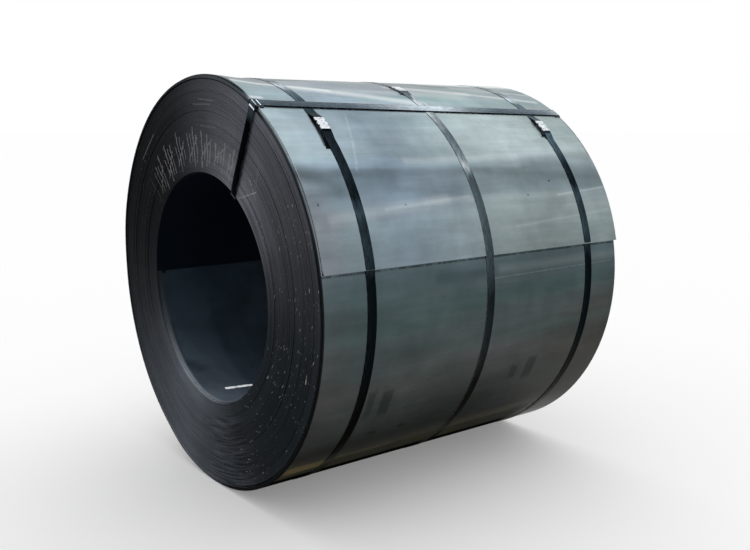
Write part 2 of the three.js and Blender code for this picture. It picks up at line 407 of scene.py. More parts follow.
def linked(bm: bmesh.types.BMesh, name: str, materials: Sequence[bpy.types.Material]) -> bpy.types.Object:
    """Turns a mesh into an object of the scene.

    Args:
        bm: The mesh, which is used up.
        name: Name of the object.
        materials: Its materials, by face number.

    Returns:
        The new object.
    """
    mesh = bpy.data.meshes.new(name)
    bm.to_mesh(mesh)
    bm.free()
    for material in materials:
        mesh.materials.append(material)
    thing = bpy.data.objects.new(name, mesh)
    bpy.context.scene.collection.objects.link(thing)
    return thing


# ---------------------------------------------------------------- writing shader nodes

# A mix node's sockets share their names, so they are told by number.
MIX_SHARE, MIX_FIRST, MIX_SECOND = 0, 2, 3
MIX_FIRST_COLOUR, MIX_SECOND_COLOUR, MIX_COLOUR_OUT = 6, 7, 2
NOISE_SPAN = (0.3, 0.7)


class Wire:
    """A value in a shader tree, which takes part in sums as a number does."""

    def __init__(self, sheet: "NodeSheet", socket: bpy.types.NodeSocket) -> None:
        """Keeps the sheet that the value is written on and its socket."""
        self.sheet = sheet
        self.socket = socket

    def math(self, operation: str, *others: "Value", clamp: bool = False) -> "Wire":
        """Adds a sum of this value and up to two others."""
        inputs = dict(enumerate((self, *others)))
        return self.sheet.wire("ShaderNodeMath", inputs, operation=operation, use_clamp=clamp)

    def __add__(self, other: "Value") -> "Wire":
        """This value plus another."""
        return self.math("ADD", other)

    def __sub__(self, other: "Value") -> "Wire":
        """This value less another."""
        return self.math("SUBTRACT", other)

    def __rsub__(self, other: float) -> "Wire":
        """A number less this value."""
        return self.sheet.wire("ShaderNodeMath", {0: other, 1: self}, operation="SUBTRACT")

    def __mul__(self, other: "Value") -> "Wire":
        """This value times another."""
        return self.math("MULTIPLY", other)

    def __truediv__(self, other: "Value") -> "Wire":
        """This value over another."""
        return self.math("DIVIDE", other)

    def __mod__(self, other: float) -> "Wire":
        """What is left of this value, never below 0."""
        return self.math("FLOORED_MODULO", other)

    def __pow__(self, other: float) -> "Wire":
        """This value raised to a power."""
        return self.math("POWER", other)

    def __abs__(self) -> "Wire":
        """This value without its sign."""
        return self.math("ABSOLUTE")

    def __lt__(self, other: "Value") -> "Wire":
        """1 where this value is below another, and 0 elsewhere."""
        return self.math("LESS_THAN", other)

    def __gt__(self, other: "Value") -> "Wire":
        """1 where this value is above another, and 0 elsewhere."""
        return self.math("GREATER_THAN", other)

    def most(self, other: "Value") -> "Wire":
        """The larger of this value and another."""
        return self.math("MAXIMUM", other)

    def line(self, slope: float, start: float, clamp: bool = False) -> "Wire":
        """This value times a slope, plus a start."""
        return self.math("MULTIPLY_ADD", slope, start, clamp=clamp)

    def ease(self, low: "Value", high: float, to_low: float = 0.0, to_high: float = 1.0) -> "Wire":
        """Carries a range of this value onto another, eased and held at both ends."""
        inputs = {0: self, 1: low, 2: high, 3: to_low, 4: to_high}
        return self.sheet.wire("ShaderNodeMapRange", inputs, interpolation_type="SMOOTHSTEP")

    def fade(self, low: "Value", high: float) -> "Wire":
        """Falls eased from 1 to 0."""
        return self.ease(low, high, 1.0, 0.0)

    def within(self, rise: float, full: float, fade: float, end: float) -> "Wire":
        """Rises eased from 0 to 1 between the first two places and falls between the last two."""
        return self.ease(rise, full) * self.fade(fade, end)

    def onto(self, low: float, high: float) -> "Wire":
        """Carries the span that a noise mostly keeps to onto another."""
        return self.ease(*NOISE_SPAN, low, high)

    def ramp(self, stops: Stops) -> "Wire":
        """Turns this value, from 0 to 1, into a colour.

        Args:
            stops: Place and colour, or place and grey, of each stop.

        Returns:
            The colour.
        """
        made = self.sheet.node("ShaderNodeValToRGB", {0: self})
        elements = made.color_ramp.elements
        elements[0].position = stops[0][0]
        elements[1].position = stops[-1][0]
        for place, _ in stops[1:-1]:
            elements.new(place)
        for element, (_, tone) in zip(elements, stops):
            element.color = (*(tone if isinstance(tone, tuple) else (tone,) * 3), 1.0)
        return Wire(self.sheet, made.outputs[0])

    def choose(self, a: "Value", b: "Value") -> "Wire":
        """Mixes two colours, with this value as the share of the second."""
        inputs = {MIX_SHARE: self, MIX_FIRST_COLOUR: a, MIX_SECOND_COLOUR: b}
        return self.sheet.wire("ShaderNodeMix", inputs, MIX_COLOUR_OUT, data_type="RGBA")

    def mix(self, share: "Wire", other: "Value") -> "Wire":
        """Gives way to another colour by a share."""
        return share.choose(self, other)

    def tint(self, other: "Value", share: "Value" = 1.0) -> "Wire":
        """Multiplies this colour with another by a share."""
        inputs = {MIX_SHARE: share, MIX_FIRST_COLOUR: self, MIX_SECOND_COLOUR: other}
        how = {"data_type": "RGBA", "blend_type": "MULTIPLY"}
        return self.sheet.wire("ShaderNodeMix", inputs, MIX_COLOUR_OUT, **how)

    def clouded(
        self, at: "Spot", scale: float, detail: float, rough: float, depth: float, low: float = 0.3
    ) -> "Wire":
        """Makes this colour lighter and darker in patches.

        Args:
            at: Where the noise is read.
            scale: The noise's scale.
            detail: Its detail.
            rough: Its roughness.
            depth: How much lighter and darker the patches are.
            low: The noise's value that gives the darkest patch.

        Returns:
            The colour.
        """
        patches = noise(at, scale, detail, rough)
        return self.tint(patches.ease(low, 1.0 - low, 1.0 - depth, 1.0 + depth))

    def bump(self, strength: float, distance: float) -> "Wire":
        """The normal that this height gives."""
        inputs = {"Height": self, "Strength": strength, "Distance": distance}
        return self.sheet.wire("ShaderNodeBump", inputs)


Value = Wire | float | tuple
Spot = Wire | tuple[Value, ...]


def noise(at: Spot, scale: float, detail: float = 3.0, rough: float = 0.5) -> Wire:
    """A noise pattern.

    Args:
        at: A vector, or two or three values that make one.
        scale: Number of grains in a unit.
        detail: Number of finer layers.
        rough: How strong the finer layers are.

    Returns:
        The noise's value, from 0 to 1.
    """
    if isinstance(at, tuple):
        sheet = at[0].sheet
        at = sheet.wire("ShaderNodeCombineXYZ", dict(enumerate(at)))
    inputs = {"Vector": at, "Scale": scale, "Detail": detail, "Roughness": rough}
    return at.sheet.wire("ShaderNodeTexNoise", inputs)


class NodeSheet:
    """Writes nodes into one shader tree."""

    def __init__(self, tree: bpy.types.NodeTree) -> None:
        """Starts on an emptied tree."""
        self.tree = tree
        tree.nodes.clear()

    def feed(self, socket: bpy.types.NodeSocket, value: Value) -> None:
        """Links a socket to another, or sets its value.

        Args:
            socket: The input.
            value: What it is given.
        """
        if isinstance(value, Wire):
            self.tree.links.new(value.socket, socket)
        elif socket.type == "RGBA" and len(value) == 3:
            socket.default_value = (*value, 1.0)
        else:
            socket.default_value = value

    def node(self, kind: str, inputs: dict | None = None, **settings: object) -> bpy.types.Node:
        """Adds a node.

        Args:
            kind: Blender's name of the node.
            inputs: Numbers, colours or wires by the input's name or number.
            settings: The node's own settings.

        Returns:
            The new node.
        """
        made = self.tree.nodes.new(kind)
        for key, setting in settings.items():
            setattr(made, key, setting)
        for key, value in (inputs or {}).items():
            self.feed(made.inputs[key], value)
        return made

    def wire(self, kind: str, inputs: dict | None = None, out: int | str = 0, **settings: object) -> Wire:
        """Adds a node, as node() does, and gives one of its outputs."""
        return Wire(self, self.node(kind, inputs, **settings).outputs[out])

    def attribute(self, name: str, out: str = "Fac") -> Wire:
        """Reads one of the mesh's own values."""
        return self.wire("ShaderNodeAttribute", out=out, attribute_name=name)

    def on_object(self) -> Wire:
        """The place on the object."""
        return self.wire("ShaderNodeTexCoord", out="Object")

    def seen(self) -> Wire:
        """1 for the rays of the camera, of mirrors and of glass, and 0 for the rest."""
        path = self.node("ShaderNodeLightPath").outputs
        kinds = ("Camera", "Glossy", "Transmission")
        camera, glossy, glass = (Wire(self, path[f"Is {kind} Ray"]) for kind in kinds)
        return (camera + glossy).math("ADD", glass, clamp=True)

    def effect(self, kind: type["Effect"], *values: Value) -> dict[str, Wire]:
        """Places a shared effect.

        Args:
            kind: The effect.
            values: Its inputs, in order.

        Returns:
            Its outputs by name.
        """
        made = self.node("ShaderNodeGroup", node_tree=kind.tree())
        for name, value in zip(kind.inputs, values):
            self.feed(made.inputs[name], value)
        return {name: Wire(self, made.outputs[name]) for name in kind.outputs}


class Effect:
    """A shared effect, written once as a node group and placed in any material."""

    name = "effect"
    inputs: Sequence[str] = ()
    outputs: Sequence[str] = ("Mask",)

    @classmethod
    def tree(cls) -> bpy.types.NodeTree:
        """The effect's node group, which is made when it is first asked for."""
        made = bpy.data.node_groups.get(cls.name)
        if made is not None:
            return made
        made = bpy.data.node_groups.new(cls.name, "ShaderNodeTree")
        for name in cls.inputs:
            made.interface.new_socket(name, in_out="INPUT", socket_type="NodeSocketFloat")
        for name in cls.outputs:
            made.interface.new_socket(name, in_out="OUTPUT", socket_type="NodeSocketFloat")
        sheet = NodeSheet(made)
        given = sheet.node("NodeGroupInput").outputs
        results = cls.write(sheet, *(Wire(sheet, given[name]) for name in cls.inputs))
        sheet.node("NodeGroupOutput", dict(zip(cls.outputs, results)))
        return made

    @classmethod
    def write(cls, sheet: NodeSheet, *given: Wire) -> Sequence[Wire]:
        """Writes the group's nodes.

        Args:
            sheet: The group's nodes.
            given: Its inputs, in order.

        Returns:
            Its outputs, in order.
        """
        raise NotImplementedError


class CoilPlace(Effect):
    """Where a point lay on the true round coil: along the axis, round it and out from it."""

    name = "coil_place"
    outputs = ("Along", "Angle", "Arc", "Radius", "Cosine", "Sine")

    @classmethod
    def write(cls, sheet: NodeSheet, *given: Wire) -> Sequence[Wire]:
        """Writes the nodes, as Effect.write says."""
        at = sheet.attribute("rest", "Vector")
        parts = sheet.node("ShaderNodeSeparateXYZ", {0: at}).outputs
        along, back, height = (Wire(sheet, part) for part in parts)
        side, up = back * -1.0, height - AXIS.height
        angle = side.math("ARCTAN2", up).math("DEGREES")
        radius = (side * side + up * up).math("SQRT")
        return along, angle, angle * ARC_OF_DEGREE, radius, up / radius, side / radius


class Scratch(Effect):
    """A thin line between two places on a surface, broken up along its length."""

    name = "scratch"
    inputs = ("U", "V", "Start U", "Start V", "End U", "End V", "Width", "Core", "Broken")

    @classmethod
    def write(cls, sheet: NodeSheet, *given: Wire) -> Sequence[Wire]:
        """Writes the nodes, as Effect.write says."""
        u, v, start_u, start_v, end_u, end_v, width, core, broken = given
        du, dv, pu, pv = end_u - start_u, end_v - start_v, u - start_u, v - start_v
        share = (pu * du + pv * dv).math("DIVIDE", du * du + dv * dv, clamp=True)
        gap_u, gap_v = pu - share * du, pv - share * dv
        gap = (gap_u * gap_u + gap_v * gap_v).math("SQRT")
        missing = noise((u, v), 60.0, 3.0, 0.6).fade(0.35, 0.55) * broken
        return ((gap / width).fade(core, 0.5) * (1.0 - missing),)


class SoftPatch(Effect):
    """A soft-edged block on a surface, such as a smudge or a wiped place."""

    name = "soft_patch"
    inputs = ("U", "V", "Middle U", "Middle V", "Half U", "Half V", "Slant")

    @classmethod
    def write(cls, sheet: NodeSheet, *given: Wire) -> Sequence[Wire]:
        """Writes the nodes, as Effect.write says."""
        u, v, middle_u, middle_v, half_u, half_v, slant = given
        edge = (noise((u, v), 45.0, 3.0, 0.6) - 0.5) * 0.9
        pv = v - middle_v
        pu = u - middle_u - pv * slant
        far = (abs(pu) / half_u).most(abs(pv) / half_v) + edge
        return (far.fade(0.6, 1.3),)


class EdgeRub(Effect):
    """Bare metal rubbed through a finish along the two long edges of a bar."""

    name = "edge_rub"
    inputs = ("Width", "Reach")

    @classmethod
    def write(cls, sheet: NodeSheet, *given: Wire) -> Sequence[Wire]:
        """Writes the nodes, as Effect.write says."""
        width, reach = given
        across = abs(sheet.attribute("across"))
        near = (1.0 - across) * (width * 0.5) / reach
        patchy = noise((sheet.attribute("run") * 30.0, across), 1.0, 4.0, 0.6)
        wear_and_highlight = near + patchy.ease(0.35, 0.65, -0.4, 1.2)
        return (wear_and_highlight.fade(0.3, 0.9),)


class ChalkTally(Effect):
    """Rows of faint chalk tally strokes on the upper part of an end face."""

    name = "chalk_tally"
    inputs = ("Angle", "Radius")

    @classmethod
    def write(cls, sheet: NodeSheet, *given: Wire) -> Sequence[Wire]:
        """Writes the nodes, as Effect.write says."""
        angle, radius = given
        step = (angle + noise((angle, radius * 60.0), 0.5, 2.0) * 1.6) / 2.3
        index = step.math("FLOOR")
        inside = abs(step.math("FRACT") - 0.5)
        bold = angle.ease(-12.0, 2.0)
        stroke = (inside / bold.line(0.09, 0.16)).fade(0.5, 1.0) * (index % 5.0 < 3.5)
        uneven = noise((index, 5.0), 1.7, 0.0)
        high = uneven.ease(0.7, 0.3, 0.484, 0.535) - bold * 0.03
        length = (radius > uneven.onto(0.398, 0.432)) * (radius < high)
        group = (step / 5.0) % 1.0
        bar = abs(radius - group.line(0.075, 0.425)).fade(0.0015, 0.004) * (group < 0.82)
        span = angle.ease(-56.0, -34.0) * (angle < 27.0)
        dry = noise((angle, radius * 90.0), 3.2, 3.0, 0.7)
        return ((stroke * length).most(bar) * span * dry.ease(0.4, 0.55),)


class Finish:
    """A surface finish that writes one material with a Principled BSDF."""

    name = "finish"

    def material(self) -> bpy.types.Material:
        """The finish's material, which is made when it is first asked for."""
        made = bpy.data.materials.get(self.name)
        if made is not None:
            return made
        made = bpy.data.materials.new(self.name)
        made.use_nodes = True
        sheet = NodeSheet(made.node_tree)
        shader = sheet.wire("ShaderNodeBsdfPrincipled", self.write(sheet))
        sheet.node("ShaderNodeOutputMaterial", {"Surface": shader})
        return made

    def write(self, sheet: NodeSheet) -> dict[str, Value]:
        """Writes the material's nodes.

        Args:
            sheet: The material's nodes.

        Returns:
            The shader's inputs by name.
        """
        raise NotImplementedError


# ---------------------------------------------------------------- marks and tones


@dataclass(frozen=True)
class Streak:
    """A line on a surface: its two ends, its width and strength, and its core, 0 for a soft one."""

    start: Place
    end: Place
    width: float
    strength: float
    core: float = 0.0

    def mask(self, u: Wire, v: Wire, unit: float = 1.0) -> Wire:
        """Places the line on a surface.

        Args:
            u: The surface's first measure in metres.
            v: The surface's second measure in metres.
            unit: Metres for one unit of the ends' second number.

        Returns:
            The line's mask, times its strength.
        """
        ends = (self.start[0], self.start[1] * unit, self.end[0], self.end[1] * unit)
        broken = 0.75 if self.core > 0.0 else 0.1
        return u.sheet.effect(Scratch, u, v, *ends, self.width, self.core, broken)["Mask"] * self.strength


@dataclass(frozen=True)
class Smudge:
    """A smudge: its middle, its half sizes in metres, its strength and its lean."""

    middle: Place
    half: Place
    strength: float
    slant: float = 0.0

    def mask(self, u: Wire, v: Wire, unit: float = 1.0) -> Wire:
        """Places the smudge on a surface, as Streak.mask does."""
        middle = (self.middle[0], self.middle[1] * unit)
        return u.sheet.effect(SoftPatch, u, v, *middle, *self.half, self.slant)["Mask"] * self.strength


def marked(
    tone: Wire, marks: Sequence[Streak | Smudge], colour: Colour, u: Wire, v: Wire, unit: float = 1.0
) -> Wire:
    """Lays marks of one colour on a surface.

    Args:
        tone: The surface's colour.
        marks: The marks.
        colour: Their colour.
        u: The surface's first measure in metres.
        v: The surface's second measure in metres.
        unit: Metres for one unit of the marks' second number.

    Returns:
        The colour with the marks.
    """
    for mark in marks:
        tone = tone.mix(mark.mask(u, v, unit), colour)
    return tone


def plain_steel(tone: Wire, sheen: float) -> dict[str, Value]:
    """A shader's inputs for half-matt steel of one tone, with its sheen at the rims held down."""
    tint = (sheen, sheen, sheen, 1.0)
    return {"Base Color": tone, "Metallic": 1.0, "Roughness": 0.4, "Specular Tint": tint}


ARC_OF_DEGREE = math.radians(WINDING.outer_radius)
ALONG_SPAN = 1.3


def by_angle(*stops: tuple[float, float | Colour]) -> Stops:
    """Stops that are given in degrees from the top, for a ramp that spans half a turn."""
    return tuple((degrees / HALF_TURN, tone) for degrees, tone in stops)


def by_turn(*stops: tuple[float, float]) -> Stops:
    """Stops that are given in degrees from -180 to 180, for a ramp that spans a whole turn."""
    return tuple((degrees / FULL_TURN + 0.5, tone) for degrees, tone in stops)


def by_along(*stops: tuple[float, float | Colour]) -> Stops:
    """Stops that are given in metres along the axis, for a ramp that spans the coil."""
    return tuple((metres / ALONG_SPAN + 0.5, tone) for metres, tone in stops)


# ---------------------------------------------------------------- finishes of the strip


@dataclass(frozen=True)
class MillScale(Finish):
    """The strip's outside: satin blue-grey scale, pale at the tail, darker below, with painted light and
    shade.
    """

    name = "mill_scale"
    roughness: float = 0.3
    pale: Stops = by_along(
        (-0.6, (0.198, 0.248, 0.272)),
        (-0.3, (0.188, 0.244, 0.285)),
        (0.1, (0.206, 0.25, 0.256)),
        (0.6, (0.207, 0.25, 0.257)),
    )
    # Tone below the tail lap: darker than the outer lap, and darker towards the bottom as painted shade.
    deep: Stops = by_angle(
        (80, (0.074, 0.104, 0.115)),
        (89, (0.056, 0.079, 0.083)),
        (98, (0.066, 0.083, 0.084)),
        (110, (0.065, 0.073, 0.071)),
        (120, (0.054, 0.06, 0.058)),
        (127, (0.04, 0.045, 0.043)),
        (132, (0.028, 0.03, 0.027)),
        (136, (0.04, 0.042, 0.034)),
        (144, (0.04, 0.04, 0.032)),
    )
    # Painted light: the sky's reflection, lighter and darker in bands by angle from the top.
    bands: Stops = by_angle(
        (2, 0.71), (9, 1.02), (16, 1.38), (23, 1.52), (30, 1.45), (37, 1.4), (46, 1.3), (52, 1.12),
        (55.5, 0.69), (60.5, 0.7), (64.5, 1.1), (69, 1.19), (79, 0.93),
    )
    # Painted reflection, lighter and darker along the axis, for the upper and the lower band.
    upper_along: Stops = by_along(
        (-0.6, 1.08), (-0.45, 0.94), (-0.3, 0.72), (-0.1, 0.86), (0.23, 1.26), (0.4, 1.14), (0.6, 0.93)
    )
    lower_along: Stops = by_along((-0.58, 0.8), (-0.3, 1.08), (0.0, 1.04), (0.25, 0.97), (0.6, 0.94))
    # Pale streaks painted as reflections of the sky.
    reflection_streaks: tuple[Streak, ...] = (
        Streak((-0.61, 14.2), (-0.3, 20.5), 0.04, 0.8),
        Streak((-0.42, 18.5), (0.02, 28.6), 0.07, 0.52),
        Streak((-0.25, 20.0), (0.25, 22.5), 0.09, 0.22),
        Streak((-0.62, 26.6), (-0.585, 26.8), 0.03, 0.45),
        Streak((-0.02, 15.5), (0.3, 20.5), 0.06, 0.52),
        Streak((0.26, 20.0), (0.6, 26.0), 0.035, 0.45),
        Streak((0.3, 13.5), (0.62, 20.0), 0.05, 0.3),
        Streak((0.22, 6.0), (0.62, 9.0), 0.07, 0.9),
        Streak((-0.55, 66.8), (-0.12, 63.6), 0.06, 0.13),
        Streak((-0.36, 65.0), (-0.02, 63.0), 0.02, 0.1),
        Streak((-0.2, 63.8), (0.62, 64.2), 0.045, 0.08),
        Streak((0.38, 64.4), (0.63, 62.9), 0.014, 0.16),
        Streak((-0.22, 51.8), (0.26, 51.4), 0.05, 0.1),
        Streak((-0.34, 34.5), (-0.415, 54.0), 0.012, 0.08, 0.25),
        Streak((0.03, 85.6), (0.6, 85.2), 0.006, 0.06, 0.1),
        Streak((0.06, 83.4), (0.62, 83.2), 0.05, 0.05),
        Streak((0.15, 72.4), (0.62, 70.0), 0.016, 0.08),
    )
    # Painted shade: darker reflected bands, the shadow beside the left strap and the shadow line under the
    # tail.
    shades: tuple[Streak, ...] = (
        Streak((-0.44, 55.0), (0.1, 55.6), 0.05, 0.2),
        Streak((0.1, 56.5), (0.62, 59.0), 0.07, 0.18),
        Streak((-0.62, 54.0), (-0.3, 57.0), 0.1, 0.3),
        Streak((0.48, 51.5), (0.62, 52.5), 0.07, 0.24),
        Streak((-0.2, 83.6), (-0.02, 83.6), 0.06, 0.25),
        Streak((-0.471, 33.0), (-0.485, 46.2), 0.018, 0.95),
        Streak((-0.52, 3.5), (-0.24, 2.5), 0.1, 0.35),
        Streak((-0.64, 53.0), (-0.5, 59.0), 0.09, 0.3),
        Streak((0.63, 35.0), (0.63, 52.0), 0.006, 0.5, 0.2),
        Streak((-0.66, 3.5), (-0.44, 3.5), 0.2, 0.68),
        Streak((-0.62, 12.0), (-0.3, 8.0), 0.05, 0.42),
        Streak((0.05, 9.5), (0.62, 18.0), 0.035, 0.4),
        Streak((-0.62, 79.8), (0.66, 79.8), 0.009, 0.7, 0.2),
    )
    smudges: tuple[Smudge, ...] = (
        Smudge((-0.415, 115.8), (0.014, 0.052), 0.42),
        Smudge((-0.355, 116.2), (0.021, 0.055), 0.5),
        Smudge((0.188, 115.6), (0.018, 0.03), 0.4),
        Smudge((0.266, 115.4), (0.022, 0.045), 0.45),
        Smudge((-0.355, 127.4), (0.02, 0.007), 0.6, 0.6),
        Smudge((-0.235, 127.6), (0.017, 0.008), 0.6, 0.6),
        Smudge((0.362, 59.9), (0.005, 0.003), 0.8),
        Smudge((0.239, 63.8), (0.004, 0.003), 0.7),
        Smudge((-0.284, 64.2), (0.004, 0.003), 0.6),
        Smudge((-0.587, 62.7), (0.003, 0.004), 0.6),
    )
    stains: tuple[Smudge, ...] = (
        Smudge((-0.545, 139.0), (0.08, 0.026), 0.8),
        Smudge((-0.33, 137.5), (0.12, 0.01), 0.3),
        Smudge((0.2, 135.0), (0.16, 0.022), 0.25),
    )
    smudge_and_shade_tone: Colour = (0.012, 0.014, 0.015)
    stain_tone: Colour = (0.14, 0.115, 0.055)
    reflection_tone: Colour = (0.76, 0.8, 0.8)
    far_glint: Colour = (1.24, 1.24, 1.24)
    contact_shadow_tone: Colour = (0.003, 0.003, 0.002)
    rim_cast: Colour = (1.06, 0.975, 0.985)
    bared_shade_tone: Colour = (0.01, 0.012, 0.013)
    corner_tone: Colour = (0.006, 0.008, 0.009)
    rim_shade_tone: Colour = (0.055, 0.064, 0.068)
    casts: Stops = ((0.35, (0.93, 1.04, 1.0)), (0.65, (1.08, 0.98, 0.99)))
    cool_cast: Colour = (0.965, 1.0, 1.055)
    dust_tone: Colour = (0.07, 0.055, 0.025)
    far_cast: Colour = (0.88, 0.8, 0.76)
    far_foot_tone: Colour = (0.085, 0.086, 0.082)

    def write(self, sheet: NodeSheet) -> dict[str, Value]:
        """Writes the nodes, as Finish.write says."""
        place = sheet.effect(CoilPlace)
        along, arc, down = place["Along"], place["Arc"], abs(place["Angle"])
        wander = noise((along * 1.3, arc * 0.6), 2.0, 3.0, 0.5)
        level = down + wander.onto(-1.7, 1.7)
        half_turn = level / HALF_TURN
        crossways = along.line(1.0 / ALONG_SPAN, 0.5)
        # Painted light: the sky bands, and their changes along the axis in the upper and lower bands.
        tone = crossways.ramp(self.pale).tint(half_turn.ramp(self.bands))
        upper = level.within(30.0, 36.0, 50.0, 56.0)
        tone = tone.tint(crossways.ramp(self.upper_along), upper)
        tone = tone.tint(crossways.ramp(self.lower_along), level.ease(58.0, 63.0))
        # Below the tail lap the tone darkens towards the bottom, partly as painted shade.
        turn = sheet.attribute("mark")
        tone = tone.mix(turn.ease(0.35, 0.6) * (turn < 1.0), half_turn.ramp(self.deep))
        tone = self._mottle(tone, along, arc, level)
        on_outside = (along, arc, ARC_OF_DEGREE)
        # Smudges are dirt; the shades are painted shade.
        tone = marked(tone, self.smudges + self.shades, self.smudge_and_shade_tone, *on_outside)
        tone = marked(tone, self.stains, self.stain_tone, *on_outside)
        # Painted reflections.
        tone = marked(tone, self.reflection_streaks, self.reflection_tone, *on_outside)
        tone = tone.tint(self.far_glint, along.ease(0.2, 0.38) * down.fade(9.5, 12.5))
        tone = self._near_rim(tone, along, down)
        matt = noise((along, arc * 3.0), 2.6, 3.0)
        near_part = along.fade(0.36, 0.5)
        # The base colour ends in a painted contact shadow along the foot of the near half.
        return {
            "Base Color": tone.mix(down.ease(144.3, 145.6) * near_part, self.contact_shadow_tone),
            "Metallic": 1.0 - down.ease(133.0, 139.0) * near_part,
            "Specular IOR Level": 0.0,
            "Roughness": matt.onto(self.roughness - 0.05, self.roughness + 0.06),
            "Specular Tint": (0.5, 0.5, 0.5, 1.0),
            "Normal": noise((along * 40.0, arc * 160.0), 4.0, 3.0).bump(0.12, 0.0005),
        }

    def _near_rim(self, tone: Wire, along: Wire, down: Wire) -> Wire:
        """Paints shade on the near rim on top of the coil, and further down warms the rim and paints shade
        on its step.

        Args:
            tone: The colour so far.
            along: The place along the axis.
            down: The angle from the top, to either side.

        Returns:
            The colour.
        """
        rim = WINDING.near_end
        tone = tone.tint(self.rim_cast, along.fade(-0.6, -0.5) * down.ease(50.0, 62.0))
        # Painted shade on the second lap, bared where the outer lap slid, and in the step's corner.
        bared_shade = along.fade(rim + 0.002, rim + 0.0065) * down.ease(54.0, 66.0, 0.75, 0.4)
        tone = tone.mix(bared_shade, self.bared_shade_tone)
        edge = along - down.ease(60.0, 95.0, 0.0, 0.001)
        corner = edge.fade(rim + 0.0025, rim + 0.0045) * down.ease(56.0, 74.0, 0.0, 0.9)
        tone = tone.mix(corner, self.corner_tone)
        # Painted shade along the near rim on top of the coil.
        wider = along - down.ease(9.0, 20.0, 0.0135, 0.0)
        rim_shade = wider.fade(-0.617, -0.611) * down.ease(20.0, 27.0, 0.9, 0.0)
        return tone.mix(rim_shade, self.rim_shade_tone)

    def _mottle(self, tone: Wire, along: Wire, arc: Wire, level: Wire) -> Wire:
        """Adds cloudy patches, fine lines along the coil and a warm cast near the floor.

        Args:
            tone: The colour so far.
            along: The place along the axis.
            arc: The way round the coil in metres.
            level: The angle from the top, slightly uneven.

        Returns:
            The colour.
        """
        tone = tone.clouded((along, arc * 1.6), 2.4, 5.0, 0.55, 0.17, low=0.28)
        tone = tone.clouded((along * 1.5, arc, 7.0), 8.0, 4.0, 0.6, 0.07)
        tone = tone.clouded((along, arc * 9.0), 2.2, 4.0, 0.6, 0.08)
        tone = tone.clouded((along * 3.0, arc * 70.0), 1.5, 4.0, 0.65, 0.03)
        cast = noise((along * 0.9, arc * 9.0, 3.0), 1.9, 3.0, 0.5)
        tinted = cast.ramp(self.casts)
        tone = tone.tint(tinted, level.ease(26.0, 32.0, 1.0, 0.25) + level.ease(80.0, 86.0, 0.0, 0.45))
        below = level.within(50.0, 54.0, 62.0, 67.0)
        above = level.ease(27.0, 34.0, 0.8, 0.0) * along.ease(-0.25, 0.0)
        tone = tone.tint(self.cool_cast, above + below)
        dusty = noise((along, arc), 4.5, 4.0, 0.6).ease(0.42, 0.6, 0.0, 0.3)
        tone = tone.mix(dusty * level.ease(130.0, 137.0), self.dust_tone)
        far_half = along.ease(0.1, 0.6)
        tone = tone.tint(self.far_cast, far_half * level.ease(86.0, 96.0))
        return tone.mix(far_half * level.ease(104.0, 128.0, 0.0, 0.85), self.far_foot_tone)


